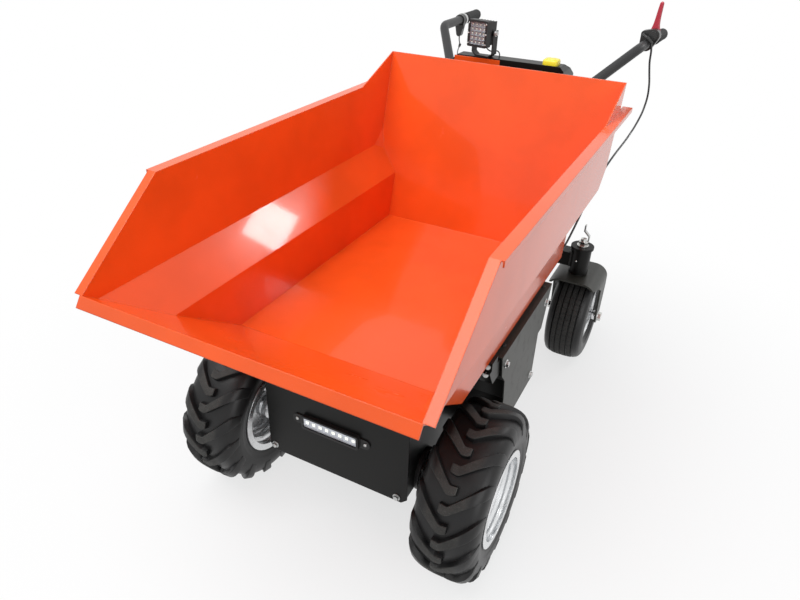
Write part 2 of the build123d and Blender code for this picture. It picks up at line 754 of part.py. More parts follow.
with BuildPart() as drive_motor:
    with BuildSketch(x_plane(0)):
        with Locations((AXLE_Y + AXLE_HOUSING_D / 2 + MOTOR_SIZE / 2, BODY_BOTTOM_Z + SHEET + MOTOR_SIZE / 2)):
            Rectangle(MOTOR_SIZE, MOTOR_SIZE)
    extrude(amount=MOTOR_LENGTH / 2, both=True)
save(drive_motor.part, "drive_motor")

with BuildPart() as battery_pack:
    with BuildSketch(Plane.XY.offset(BODY_BOTTOM_Z + SHEET)):
        with Locations((0, station((BAY_SETBACK + BAY_REAR_LOW) / 2))):
            Rectangle(BATTERY_WIDTH, BATTERY_LENGTH)
    extrude(amount=BATTERY_HEIGHT)
save(battery_pack.part, "battery_pack")


# ---------------------------------------------------------------- light bar
cover_face = BAY_FRONT_Y - SHEET
with BuildPart() as light_bar:
    with BuildSketch(y_plane(cover_face)):
        with Locations((LIGHT_BAR_X, LIGHT_BAR_Z)):
            SlotOverall(LIGHT_PLATE_LENGTH, LIGHT_PLATE_HEIGHT)
            RectangleRounded(LIGHT_BAR_LENGTH, LIGHT_BAR_HEIGHT, 6)
    extrude(amount=SHEET)
    with BuildSketch(y_plane(cover_face - SHEET)):
        with Locations((LIGHT_BAR_X, LIGHT_BAR_Z)):
            RectangleRounded(LIGHT_BAR_LENGTH, LIGHT_BAR_HEIGHT, 6)
    extrude(amount=LIGHT_BAR_DEPTH - SHEET)
    with BuildSketch(y_plane(cover_face - LIGHT_BAR_DEPTH)):
        with Locations((LIGHT_BAR_X, LIGHT_BAR_Z)):
            RectangleRounded(
                LIGHT_BAR_LENGTH - 2 * LIGHT_LENS_MARGIN,
                LIGHT_BAR_HEIGHT - 2 * LIGHT_LENS_MARGIN,
                4,
            )
    extrude(amount=-(LIGHT_BAR_DEPTH - SHEET - 2), mode=Mode.SUBTRACT)
save(light_bar.part, "light_bar_housing")

with BuildPart() as light_lens:
    with BuildSketch(y_plane(cover_face - SHEET - 2)):
        with Locations((LIGHT_BAR_X, LIGHT_BAR_Z)):
            RectangleRounded(
                LIGHT_BAR_LENGTH - 2 * LIGHT_LENS_MARGIN - 2 * SEAT_GAP,
                LIGHT_BAR_HEIGHT - 2 * LIGHT_LENS_MARGIN - 2 * SEAT_GAP,
                4 - SEAT_GAP,
            )
    extrude(amount=LIGHT_BAR_DEPTH - SHEET - 2 - LENS_RECESS)
save(light_lens.part, "light_bar_lens")


# ---------------------------------------------------------------- tub
back_reach = TUB_BACK_TOP_Z + 200
wedge = side_points(
    (
        (-TUB_FLOOR_FRONT, TUB_FLOOR_Z),
        (TUB_FLOOR_REAR, TUB_FLOOR_Z),
        (TUB_FLOOR_REAR + (back_reach - TUB_FLOOR_Z) * tan_lean, back_reach),
        (-TUB_FLOOR_FRONT - (back_reach - TUB_FLOOR_Z) / tan(SLOPE), back_reach),
    )
)
trough = (
    (-TUB_FLOOR_HALF, TUB_FLOOR_Z),
    (TUB_FLOOR_HALF, TUB_FLOOR_Z),
    (TUB_FLOOR_HALF, TUB_KNEE_IN_Z),
    (TUB_TOP_HALF, TUB_KNEE_OUT_Z),
    (TUB_TOP_HALF, back_reach),
    (-TUB_TOP_HALF, back_reach),
    (-TUB_TOP_HALF, TUB_KNEE_OUT_Z),
    (-TUB_FLOOR_HALF, TUB_KNEE_IN_Z),
)


def back_y(z):
    """Y of the inside of the tub's back wall at height z."""
    return station(TUB_FLOOR_REAR + (z - TUB_FLOOR_Z) * tan_lean)


lip = Vector(station(-TUB_LIP_REACH), TUB_LIP_Z)
rim_corner = Vector(station(-TUB_RIM_FRONT), TUB_RIM_Z)
along_mouth = (rim_corner - lip).normalized()
into_side = Vector(along_mouth.Y, -along_mouth.X)
up_slope = Vector(-cos(SLOPE), sin(SLOPE))
down_lip = Vector(-sin(SLOPE), -cos(SLOPE))

def trim_rear_corners(by):
    """Cuts the open part's lower rear corners off flat, the given distance outside the tub's inside."""
    for sign in (-1, 1):
        corner = Vector(sign * TUB_TOP_HALF, back_y(TUB_KNEE_OUT_Z), TUB_KNEE_OUT_Z)
        knee = Vector(sign * TUB_FLOOR_HALF, back_y(TUB_KNEE_IN_Z), TUB_KNEE_IN_Z)
        above = corner + Vector(0, tan_lean, 1).normalized() * CORNER_CUT
        ahead = corner - Vector(0, CORNER_CUT, 0)
        inward = corner + (knee - corner).normalized() * CORNER_CUT / 2
        outward = (ahead - above).cross(inward - above).normalized() * sign
        split(bisect_by=Plane(origin=above + outward * by, z_dir=outward), keep=Keep.BOTTOM)


with BuildPart() as hollow:
    with BuildSketch(y_plane(station(-3 * TUB_LIP_REACH))):
        Polygon(*trough, align=None)
    extrude(amount=-8 * TUB_LIP_REACH)
    with BuildSketch(x_plane(0)):
        Polygon(*wedge, align=None)
    extrude(amount=2 * TUB_TOP_HALF, both=True, mode=Mode.INTERSECT)
    trim_rear_corners(0)

with BuildPart() as tub:
    with BuildSketch(y_plane(station(-3 * TUB_LIP_REACH))):
        Polygon(*trough, align=None)
        offset(amount=TUB_SHEET, kind=Kind.INTERSECTION)
    extrude(amount=-8 * TUB_LIP_REACH)
    with BuildSketch(x_plane(0)):
        Polygon(*wedge, align=None)
        offset(amount=TUB_SHEET, kind=Kind.INTERSECTION)
    extrude(amount=2 * TUB_TOP_HALF, both=True, mode=Mode.INTERSECT)
    trim_rear_corners(TUB_SHEET)
    add(hollow.part, mode=Mode.SUBTRACT)
    # everything above the mouth, the rim, the gussets and the back's top edge is open
    below_lip = lip - along_mouth * 60
    with BuildSketch(x_plane(0)):
        Polygon(
            (below_lip.X, below_lip.Y),
            (rim_corner.X, rim_corner.Y),
            (station(TUB_GUSSET_FRONT), TUB_RIM_Z),
            (back_y(TUB_BACK_TOP_Z), TUB_BACK_TOP_Z),
            (back_y(TUB_BACK_TOP_Z) + 200, TUB_BACK_TOP_Z),
            (back_y(TUB_BACK_TOP_Z) + 200, 2 * back_reach),
            (station(-4 * TUB_LIP_REACH), 2 * back_reach),
            (station(-4 * TUB_LIP_REACH), below_lip.Y),
            align=None,
        )
    extrude(amount=2 * TUB_TOP_HALF, both=True, mode=Mode.SUBTRACT)
    # pouring lip folded down square to the slope
    lip_corners = [lip, lip + up_slope * TUB_SHEET]
    lip_corners.append(lip_corners[1] + down_lip * LIP_FLANGE)
    lip_corners.append(lip + down_lip * LIP_FLANGE)
    with BuildSketch(x_plane(0)):
        Polygon(*[(p.X, p.Y) for p in lip_corners], align=None)
    extrude(amount=TUB_TOP_HALF + TUB_SHEET, both=True)
    for sign in (-1, 1):
        # rim flange with its turned-down edge
        rim_rear = back_y(TUB_RIM_Z) + RIM_TAIL
        with BuildSketch(y_plane(rim_rear)):
            with Locations((sign * (TUB_TOP_HALF + RIM_FLANGE / 2), TUB_RIM_Z - TUB_SHEET / 2)):
                Rectangle(RIM_FLANGE, TUB_SHEET)
            with Locations((sign * (TUB_TOP_HALF + RIM_FLANGE - TUB_SHEET / 2), TUB_RIM_Z - RIM_RETURN / 2)):
                Rectangle(TUB_SHEET, RIM_RETURN)
        extrude(amount=rim_rear - rim_corner.X)
        # flange along the sloping front edge of the side
        with BuildSketch(x_plane(sign * TUB_TOP_HALF)):
            Polygon(
                (lip.X, lip.Y),
                (rim_corner.X, rim_corner.Y),
                (rim_corner.X + into_side.X * TUB_SHEET, rim_corner.Y + into_side.Y * TUB_SHEET),
                (lip.X + into_side.X * TUB_SHEET, lip.Y + into_side.Y * TUB_SHEET),
                align=None,
            )
        extrude(amount=sign * MOUTH_FLANGE)
save(tub.part, "tub_shell")

rib_bottom = SIDE_TOP_Z + SEAT_GAP
rib_top = TUB_FLOOR_Z - TUB_SHEET
rib_middle = (station(-TUB_FLOOR_FRONT) + station(RIB_REAR)) / 2
rib_length = TUB_FLOOR_FRONT + RIB_REAR
bracket_in = RIB_X - RIB_THICKNESS / 2 - PIVOT_PLAY - BRACKET_THICKNESS
bracket_out = RIB_X + RIB_THICKNESS / 2 + PIVOT_PLAY
with BuildPart() as tub_ribs:
    for sign in (-1, 1):
        with BuildSketch(x_plane(sign * RIB_X)):
            with Locations((PIVOT_Y, PIVOT_Z)):
                Circle(EYE_R)
            Polygon(
                (PIVOT_Y - EYE_R * 0.55, PIVOT_Z + EYE_R * 0.835),
                (station(-TUB_FLOOR_FRONT), rib_top),
                (station(20), rib_top),
                (station(20), rib_bottom),
                (PIVOT_Y + EYE_R * 0.35, PIVOT_Z - EYE_R * 0.93),
                align=None,
            )
            with Locations((rib_middle, (rib_bottom + rib_top) / 2)):
                Rectangle(rib_length, rib_top - rib_bottom)
            with Locations((PIVOT_Y, PIVOT_Z)):
                Circle(PIN_D / 2 + RUNNING, mode=Mode.SUBTRACT)
        extrude(amount=RIB_THICKNESS / 2, both=True)
        with BuildSketch(Plane.XY.offset(rib_top - RIB_FOOT_THICKNESS)):
            with Locations((sign * RIB_X, rib_middle)):
                Rectangle(RIB_FOOT, rib_length)
        extrude(amount=RIB_FOOT_THICKNESS)
save(tub_ribs.part, "tub_ribs")

with BuildPart() as pivot_brackets:
    for sign in (-1, 1):
        for inner in (bracket_in, bracket_out):
            with BuildSketch(x_plane(sign * inner)):
                with Locations((PIVOT_Y, PIVOT_Z)):
                    Circle(EYE_R + 2)
                with Locations((PIVOT_Y, (PIVOT_Z + DRIVE_BAY_TOP_Z) / 2)):
                    Rectangle(2 * EYE_R + 4, PIVOT_Z - DRIVE_BAY_TOP_Z)
                with Locations((PIVOT_Y, PIVOT_Z)):
                    Circle(PIN_D / 2 + RUNNING, mode=Mode.SUBTRACT)
            extrude(amount=sign * BRACKET_THICKNESS)
        with BuildSketch(Plane.XY.offset(DRIVE_BAY_TOP_Z)):
            with Locations((sign * RIB_X, PIVOT_Y)):
                Rectangle(2 * (bracket_out + BRACKET_THICKNESS - RIB_X) + 16, 2 * EYE_R + 14)
        extrude(amount=BRACKET_FOOT)
save(pivot_brackets.part, "pivot_brackets")

pin_end = RIB_X + RIB_THICKNESS / 2 + PIVOT_PLAY + BRACKET_THICKNESS + PIN_HEAD
with BuildPart() as hinge_pin:
    with BuildSketch(x_plane(0)):
        with Locations((PIVOT_Y, PIVOT_Z)):
            Circle(PIN_D / 2)
    extrude(amount=pin_end, both=True)
    for sign in (-1, 1):
        with BuildSketch(x_plane(sign * pin_end)):
            with Locations((PIVOT_Y, PIVOT_Z)):
                Circle(PIN_D / 2 + 4)
        extrude(amount=-sign * (PIN_HEAD - SEAT_GAP))
save(hinge_pin.part, "hinge_pin")


# ---------------------------------------------------------------- console
console_bottom = CONSOLE_TOP_Z - CONSOLE_HEIGHT
console_front = station(CONSOLE_FRONT)
console_rear = console_front + CONSOLE_DEPTH
gland_root = Vector(-CONSOLE_LEFT, console_front + 0.6 * CONSOLE_DEPTH, console_bottom + CONSOLE_REAR_HEIGHT)
gland_axis = Vector(-0.42, 0.90, -0.10).normalized()
with BuildPart() as console_box:
    with BuildSketch(x_plane(-CONSOLE_LEFT)):
        Polygon(
            (console_front, console_bottom),
            (console_rear, console_bottom),
            (console_rear, console_bottom + CONSOLE_REAR_HEIGHT),
            (console_front + CONSOLE_FLAT, CONSOLE_TOP_Z),
            (console_front, CONSOLE_TOP_Z),
            align=None,
        )
    extrude(amount=CONSOLE_LEFT + CONSOLE_RIGHT)
    ends = console_box.edges().filter_by(Axis.Y).group_by(Axis.Z)[-1]
    chamfer(ends, length=CONSOLE_CHAMFER)
    with BuildSketch(Plane(origin=gland_root + gland_axis * GLAND_LENGTH, z_dir=-gland_axis)):
        Circle(GLAND_D / 2)
    extrude(amount=GLAND_LENGTH + GLAND_D)
save(console_box.part, "console_box")

with BuildPart() as stop_switch:
    with BuildSketch(Plane.XY.offset(CONSOLE_TOP_Z)):
        with Locations((STOP_X, console_front + CONSOLE_FLAT / 2)):
            Circle(STOP_D / 2)
    extrude(amount=STOP_HEIGHT)
    chamfer(stop_switch.edges().group_by(Axis.Z)[-1], length=STOP_BEVEL)
save(stop_switch.part, "stop_switch")


# ---------------------------------------------------------------- handlebars
for side, sign in sides:
    foot = Vector(sign * BAR_FOOT[0], station(BAR_FOOT[1]), BAR_FOOT[2])
    bend = Vector(sign * BAR_BEND[0], station(BAR_BEND[1]), BAR_BEND[2])
    end = Vector(sign * BAR_END[0], station(BAR_END[1]), BAR_END[2])
    rise = (bend - foot).normalized()
    reach = (end - bend).normalized()
    start = foot - rise * (2 * UPRIGHT)
    post_face = UPRIGHT_X + UPRIGHT / 2
    with BuildPart() as handlebar:
        with BuildLine():
            FilletPolyline(start, bend, end - reach * 6, radius=BAR_BEND_R)
        with BuildSketch(Plane(origin=start, z_dir=rise)):
            Circle(BAR_D / 2)
        sweep()
        split(bisect_by=Plane(origin=(sign * post_face, 0, 0), z_dir=(sign, 0, 0)), keep=Keep.TOP)
    save(handlebar.part, f"handlebar_{side}")

    with BuildPart() as grip:
        with BuildSketch(Plane(origin=end - reach * GRIP_LENGTH, z_dir=reach)):
            Circle(GRIP_D / 2)
        extrude(amount=GRIP_LENGTH)
        with BuildSketch(Plane(origin=end - reach * GRIP_LENGTH, z_dir=reach)):
            Circle(BAR_D / 2 + SEAT_GAP)
        extrude(amount=GRIP_LENGTH - 6 + SEAT_GAP, mode=Mode.SUBTRACT)
    save(grip.part, f"grip_{side}")

# ---------------------------------------------------------------- work lamp on its yoke
lamp_front = Plane(
    origin=(LAMP_X, station(LAMP_SETBACK), LAMP_Z),
    x_dir=(cos(radians(LAMP_YAW)), sin(radians(LAMP_YAW)), 0),
    z_dir=(sin(radians(LAMP_YAW)), -cos(radians(LAMP_YAW)), 0),
)
with BuildPart() as work_lamp:
    with BuildSketch(lamp_front.offset(LAMP_DEPTH / 2)):
        RectangleRounded(LAMP_WIDTH, LAMP_HEIGHT, LAMP_CORNER)
    extrude(amount=-LAMP_BEZEL)
    with BuildSketch(lamp_front.offset(LAMP_DEPTH / 2 - LAMP_BEZEL)):
        Rectangle(LAMP_WIDTH - 2 * LENS_MARGIN, LAMP_HEIGHT - 2 * LAMP_CORNER)
    extrude(amount=-(LAMP_DEPTH - LAMP_BEZEL - LAMP_FIN_DEPTH), taper=LAMP_TAPER)
    # cooling fins, upright plates that stand out behind the bezel
    with BuildSketch(lamp_front.offset(LAMP_DEPTH / 2 - LAMP_BEZEL)):
        with GridLocations(LAMP_FIN_PITCH, LAMP_HEIGHT, LAMP_FINS, 1):
            Rectangle(LAMP_FIN, LAMP_HEIGHT - 2 * LAMP_CORNER)
    extrude(amount=-(LAMP_DEPTH - LAMP_BEZEL), taper=LAMP_FIN_TAPER)
    with BuildSketch(lamp_front.offset(LAMP_DEPTH / 2)):
        Rectangle(LAMP_WIDTH - 2 * LENS_MARGIN, LAMP_HEIGHT - 2 * LENS_MARGIN)
    extrude(amount=-(LENS_RECESS + LENS_THICKNESS), mode=Mode.SUBTRACT)
    with BuildSketch(Plane(origin=lamp_front.offset(-YOKE_SETBACK).origin, z_dir=lamp_front.x_dir)):
        Circle(LAMP_BOSS_D / 2)
    extrude(amount=LAMP_WIDTH / 2, both=True)
save(work_lamp.part, "work_lamp_housing")

with BuildPart() as lamp_lens:
    with BuildSketch(lamp_front.offset(LAMP_DEPTH / 2 - LENS_RECESS)):
        Rectangle(LAMP_WIDTH - 2 * LENS_MARGIN - 2 * SEAT_GAP, LAMP_HEIGHT - 2 * LENS_MARGIN - 2 * SEAT_GAP)
    extrude(amount=-LENS_THICKNESS)
save(lamp_lens.part, "work_lamp_lens")

yoke_side = LAMP_WIDTH / 2 + SEAT_GAP
yoke_foot = CONSOLE_TOP_Z - LAMP_Z
with BuildPart() as lamp_yoke:
    with BuildSketch(lamp_front.offset(-YOKE_SETBACK)):
        with BuildLine():
            Polyline(
                (-yoke_side - YOKE_SHEET, 8),
                (-yoke_side - YOKE_SHEET, yoke_foot + 10),
                (-yoke_side + 10, yoke_foot),
                (yoke_side - 10, yoke_foot),
                (yoke_side + YOKE_SHEET, yoke_foot + 10),
                (yoke_side + YOKE_SHEET, 8),
                (yoke_side, 8),
                (yoke_side, yoke_foot + 11),
                (yoke_side - 11, yoke_foot + YOKE_SHEET),
                (-yoke_side + 11, yoke_foot + YOKE_SHEET),
                (-yoke_side, yoke_foot + 11),
                (-yoke_side, 8),
                close=True,
            )
        make_face()
    extrude(amount=YOKE_WIDTH / 2, both=True)
save(lamp_yoke.part, "work_lamp_yoke")


# ---------------------------------------------------------------- hand controls
def bar_point(sign, back):
    """Point on the straight grip stretch of a handlebar, the given distance behind the axle."""
    share = (back - BAR_BEND[1]) / (BAR_END[1] - BAR_BEND[1])
    x = BAR_BEND[0] + share * (BAR_END[0] - BAR_BEND[0])
    z = BAR_BEND[2] + share * (BAR_END[2] - BAR_BEND[2])
    return Vector(sign * x, station(back), z)


def bar_frame(sign, back):
    """Sketch plane square to the grip stretch: x outward to +X, y up, facing forward."""
    run = Vector(sign * (BAR_END[0] - BAR_BEND[0]), BAR_END[1] - BAR_BEND[1], BAR_END[2] - BAR_BEND[2])
    return Plane(origin=bar_point(sign, back), x_dir=(1, 0, 0), z_dir=-run.normalized())


perch_face = bar_frame(1, PERCH_SETBACK)
with BuildPart() as brake_perch:
    with BuildSketch(perch_face):
        Circle(CLAMP_D / 2)
        with Locations(BOSS_CENTRE):
            Circle(BOSS_D / 2)
        with Locations(CABLE_STOP):
            Circle(CABLE_STOP_D / 2)
        make_hull()
        Circle(BAR_D / 2 + SEAT_GAP, mode=Mode.SUBTRACT)
    extrude(amount=-PERCH_LENGTH)
    with BuildSketch(perch_face):
        with Locations(BOSS_CENTRE):
            Circle(DIAL_D / 2)
    extrude(amount=DIAL_HEIGHT)
    with BuildSketch(perch_face.offset(-PERCH_LENGTH)):
        with Locations(BOSS_CENTRE):
            Circle(LEVER_SCREW_D / 2)
    extrude(amount=-LEVER_THICKNESS)
save(brake_perch.part, "brake_perch")

with BuildPart() as brake_lever:
    with BuildSketch(perch_face.offset(-PERCH_LENGTH)):
        with Locations(BOSS_CENTRE):
            Circle(LEVER_HUB_D / 2)
            Polygon(
                (-LEVER_HUB_D / 2, 0),
                (-LEVER_BASE / 2, LEVER_HUB_D / 2),
                (-LEVER_TIP / 2, LEVER_LENGTH),
                (LEVER_TIP / 2, LEVER_LENGTH),
                (LEVER_BASE / 2, LEVER_HUB_D / 2),
                (LEVER_HUB_D / 2, 0),
                align=None,
            )
            Circle(LEVER_SCREW_D / 2 + SEAT_GAP, mode=Mode.SUBTRACT)
    extrude(amount=-LEVER_THICKNESS)
    tip_edges = brake_lever.edges().filter_by(Axis.Y, tolerance=10).group_by(Axis.Z)[-1]
    fillet(tip_edges, radius=LEVER_TIP * 0.4)
save(brake_lever.part, "brake_lever")

throttle_face = bar_frame(-1, THROTTLE_SETBACK)
with BuildPart() as throttle_body:
    with BuildSketch(throttle_face):
        Circle(CLAMP_D / 2 - 2)
        with Locations((0, -THROTTLE_DROP)):
            Circle(THROTTLE_FOOT_D / 2)
        make_hull()
        Circle(BAR_D / 2 + SEAT_GAP, mode=Mode.SUBTRACT)
    extrude(amount=-THROTTLE_THICKNESS)
    with BuildSketch(throttle_face):
        with Locations((8, -CLAMP_D / 2)):
            RectangleRounded(24, 12, 4)
    extrude(amount=8)
save(throttle_body.part, "throttle_body")

with BuildPart() as throttle_clamp:
    with BuildSketch(throttle_face.offset(-THROTTLE_THICKNESS - SEAT_GAP)):
        Circle(CLAMP_D / 2)
        Circle(BAR_D / 2 + SEAT_GAP, mode=Mode.SUBTRACT)
    extrude(amount=-CLAMP_LENGTH)
save(throttle_clamp.part, "throttle_clamp")


# ---------------------------------------------------------------- cables held at both ends
def route(points):
    """Route points (x, y behind the axle, z) as vectors."""
    return [Vector(x, station(back), z) for x, back, z in points]


def bend_radii(points):
    """Largest arc at each corner: 0.45 of the shorter run over the tangent of half the turn."""
    radii = []
    for before, corner, after in zip(points, points[1:], points[2:]):
        first = corner - before
        second = after - corner
        turn = radians(first.get_angle(second))
        radii.append(0.45 * min(first.length, second.length) / tan(turn / 2))
    return radii


def cable(name, points, diameter):
    """A round cable through the route, its corners rounded as widely as the runs allow."""
    radii = bend_radii(points)
    with BuildPart() as tube:
        with BuildLine() as path:
            FilletPolyline(*points, radius=radii)
        with BuildSketch(Plane(origin=points[0], z_dir=points[1] - points[0])):
            Circle(diameter / 2)
        sweep()
    length = path.wire().length
    section = pi * diameter * diameter / 4
    print(name, "length", round(length), "volume ratio", round(tube.part.volume / (length * section), 4))
    print("  radii", [round(r) for r in radii])
    save(tube.part, name)


perch_mouth = perch_face.from_local_coords((CABLE_STOP[0], CABLE_STOP[1], 0))
perch_run = perch_face.from_local_coords((CABLE_STOP[0], CABLE_STOP[1], 12))
gland_end = bay_rear_y(GLAND_Z) - AXLE_Y + GLAND_LENGTH
cable(
    "brake_cable",
    [
        Vector(*perch_mouth),
        Vector(*perch_run),
        *route(BRAKE_ROUTE),
        *route(
            (
                (GLAND_X + 8, gland_end + 60, GLAND_Z + 2),
                (GLAND_X, gland_end + 22, GLAND_Z),
                (GLAND_X, gland_end, GLAND_Z),
            )
        ),
    ],
    BRAKE_CABLE_D,
)
throttle_mid = bar_frame(-1, THROTTLE_SETBACK + THROTTLE_THICKNESS / 2)
throttle_mouth = Vector(*throttle_mid.from_local_coords((0, -THROTTLE_DROP - THROTTLE_FOOT_D / 2, 0)))
cable(
    "throttle_cable",
    [
        throttle_mouth,
        throttle_mouth - Vector(0, 0, 12),
        *route(THROTTLE_ROUTE),
        gland_root + gland_axis * (GLAND_LENGTH + 32),
        gland_root + gland_axis * GLAND_LENGTH,
    ],
    THROTTLE_CABLE_D,
)


cable(
    "lamp_wire",
    route(
        (
            (LAMP_WIRE_X[0], LAMP_WIRE_SETBACK[0], LAMP_Z - LAMP_HEIGHT / 2 + LAMP_CORNER),
            (LAMP_WIRE_X[0], LAMP_WIRE_SETBACK[0], LAMP_Z - LAMP_HEIGHT / 2 - 6),
            (LAMP_WIRE_X[0] + 10, LAMP_WIRE_SETBACK[0] + 8, LAMP_Z - LAMP_HEIGHT / 2 - 16),
            (LAMP_WIRE_X[1] - 6, LAMP_WIRE_SETBACK[1] - 2, CONSOLE_TOP_Z + 17),
            (LAMP_WIRE_X[1], LAMP_WIRE_SETBACK[1], CONSOLE_TOP_Z + 10),
            (LAMP_WIRE_X[1], LAMP_WIRE_SETBACK[1], CONSOLE_TOP_Z),
        )
    ),
    LAMP_WIRE_D,
)


# ---------------------------------------------------------------- caster swivel locks
with BuildPart() as caster_locks:
    for sign in (-1, 1):
        with BuildSketch(y_plane(STEM_Y + LOCK_SETBACK)):
            with BuildLine():
                Polyline(
                    (sign * LOCK_X, HOUSING_TOP_Z),
                    (sign * LOCK_X, HOUSING_TOP_Z + LOCK_KNEE),
                    (sign * (LOCK_X - LOCK_JOG), HOUSING_TOP_Z + LOCK_KNEE + LOCK_JOG),
                    (sign * (LOCK_X - LOCK_JOG), HOUSING_TOP_Z + LOCK_HEIGHT),
                    (sign * (LOCK_X - LOCK_JOG - LOCK_SHEET), HOUSING_TOP_Z + LOCK_HEIGHT),
                    (sign * (LOCK_X - LOCK_JOG - LOCK_SHEET), HOUSING_TOP_Z + LOCK_KNEE + LOCK_JOG - LOCK_SHEET / 2),
                    (sign * (LOCK_X - LOCK_SHEET), HOUSING_TOP_Z + LOCK_KNEE - LOCK_SHEET / 2),
                    (sign * (LOCK_X - LOCK_SHEET), HOUSING_TOP_Z),
                    close=True,
                )
            make_face()
        extrude(amount=-LOCK_WIDTH)
save(caster_locks.part, "caster_locks")
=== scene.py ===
"""Dresses the site dumper: lugged tyres, fasteners, lamps, welds, boots and every finish.

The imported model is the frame.  Each operator below makes one group of pieces in metres, in the
frame's own axes: +Z up, the machine facing -Y.
"""

import bpy
import numpy as np
from mathutils import Matrix, Vector


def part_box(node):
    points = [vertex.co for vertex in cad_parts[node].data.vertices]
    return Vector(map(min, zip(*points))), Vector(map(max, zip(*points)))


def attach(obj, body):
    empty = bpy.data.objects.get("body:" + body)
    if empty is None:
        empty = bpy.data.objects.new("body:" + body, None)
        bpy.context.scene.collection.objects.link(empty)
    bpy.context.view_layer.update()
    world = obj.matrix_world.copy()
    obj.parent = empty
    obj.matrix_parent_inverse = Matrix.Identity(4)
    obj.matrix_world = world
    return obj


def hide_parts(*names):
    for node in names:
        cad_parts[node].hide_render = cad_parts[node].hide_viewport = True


bl_info = {
    "name": "Site Dumper",
    "version": (1, 0, 0),
    "blender": (4, 5, 0),
    "location": "3D View > Sidebar > Dumper",
    "description": "Finishes, tyres, fasteners and lamps of a walk-behind site dumper",
    "category": "Object",
}

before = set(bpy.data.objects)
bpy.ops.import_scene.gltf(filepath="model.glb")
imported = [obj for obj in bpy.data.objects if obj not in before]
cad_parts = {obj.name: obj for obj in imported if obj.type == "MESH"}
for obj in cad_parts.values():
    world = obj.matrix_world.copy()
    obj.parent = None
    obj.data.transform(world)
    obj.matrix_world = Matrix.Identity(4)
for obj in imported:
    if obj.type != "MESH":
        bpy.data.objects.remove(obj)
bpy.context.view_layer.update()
MM = 0.001
TURN = 2 * np.pi
SIDES = (("left", -1.0), ("right", 1.0))
RIGHTWARD = np.array([1.0, 0.0, 0.0])
FORWARD = np.array([0.0, -1.0, 0.0])
UPWARD = np.array([0.0, 0.0, 1.0])


# ---------------------------------------------------------------- meshes
def corners(node):
    """Lowest and highest corner of a node's box as arrays."""
    low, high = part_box(node)
    return np.array(low), np.array(high)


def centre(node):
    """Middle of a node's box."""
    return sum(corners(node)) / 2


def grid_faces(rows, columns, wrap_rows=False, wrap_columns=False):
    """Quads between neighbouring points of a rows x columns grid; a wrapped way joins its ends."""
    i = np.arange(rows if wrap_rows else rows - 1)[:, None]
    j = np.arange(columns if wrap_columns else columns - 1)[None, :]
    a = i * columns + j
    b = i * columns + (j + 1) % columns
    c = (i + 1) % rows * columns + (j + 1) % columns
    d = (i + 1) % rows * columns + j
    return np.stack([a, b, c, d], axis=-1).reshape(-1, 4).tolist()


def shell_volume(rings):
    """Six times the volume the quads of a swept shell add: their middles times twice their area."""
    a = rings
    b = np.roll(rings, -1, axis=1)
    area = np.cross(b[1:] - a[:-1], a[1:] - b[:-1])
    return (area * (a[1:] + b[1:] + a[:-1] + b[:-1]) / 4).sum()


class Pieces:
    """Gathers shells of one piece and makes them one object that rides on a body."""

    def __init__(self):
        self.points = []
        self.faces = []
        self.count = 0

    def add(self, points, faces):
        """Takes one more shell: its points and its faces as lists of point numbers."""
        points = np.asarray(points, float).reshape(-1, 3)
        self.faces += [[k + self.count for k in face] for face in faces]
        self.points.append(points)
        self.count += len(points)

    def sweep(self, rings):
        """A closed shell over rings of points (rings, points, 3), with a flat cap at each end."""
        rings = np.asarray(rings, float)
        count, around = rings.shape[:2]
        inside = shell_volume(rings)
        caps = np.cross(rings, np.roll(rings, -1, axis=1)).sum(axis=1)
        first, last = rings[0].mean(axis=0), rings[-1].mean(axis=0)
        inside += (caps[-1] * last).sum() - (caps[0] * first).sum()
        if inside < 0:
            rings = rings[:, ::-1]
        faces = grid_faces(count, around, wrap_columns=True)
        faces.append(list(range(around))[::-1])
        faces.append(list(range((count - 1) * around, count * around)))
        self.add(rings, faces)

    def hoop(self, rings):
        """A closed ring-shaped shell: the last ring of points joins the first."""
        rings = np.asarray(rings, float)
        count, around = rings.shape[:2]
        if shell_volume(np.concatenate([rings, rings[:1]])) < 0:
            rings = rings[:, ::-1]
        self.add(rings, grid_faces(count, around, wrap_rows=True, wrap_columns=True))

    def make(self, name, body, finish, angle=35.0):
        """The gathered shells as one mesh object, smooth but for edges sharper than the angle."""
        mesh = bpy.data.meshes.new(name)
        mesh.from_pydata(np.concatenate(self.points).tolist(), [], self.faces)
        mesh.update()
        mesh.polygons.foreach_set("use_smooth", np.ones(len(mesh.polygons), bool))
        mesh.set_sharp_from_angle(angle=np.radians(angle))
        piece = bpy.data.objects.new(name, mesh)
        bpy.context.scene.collection.objects.link(piece)
        mesh.materials.append(finish)
        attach(piece, body)
        return piece


def across(axis):
    """Two unit directions square to an axis and to each other, right-handed with it."""
    axis = np.asarray(axis, float) / np.linalg.norm(axis)
    first = np.cross(UPWARD if abs(axis[2]) < 0.9 else -FORWARD, axis)
    first /= np.linalg.norm(first)
    return first, np.cross(axis, first)


def turned(origin, axis, outline, around, sides=0):
    """Rings of a turned shape: each outline pair is (radius, height along the axis).

    With sides given the radius follows a polygon: radius times cos(pi/sides) over the cosine of the
    angle from the middle of the flat.
    """
    axis = np.asarray(axis, float) / np.linalg.norm(axis)
    first, second = across(axis)
    angle = np.arange(around) * TURN / around
    reach = np.ones(around)
    if sides:
        wedge = TURN / sides
        reach = np.cos(wedge / 2) / np.cos((angle + wedge / 2) % wedge - wedge / 2)
    ring = (np.cos(angle) * reach)[:, None] * first + (np.sin(angle) * reach)[:, None] * second
    outline = np.asarray(outline, float)
    return np.asarray(origin) + outline[:, :1, None] * ring[None] + outline[:, 1:, None] * axis


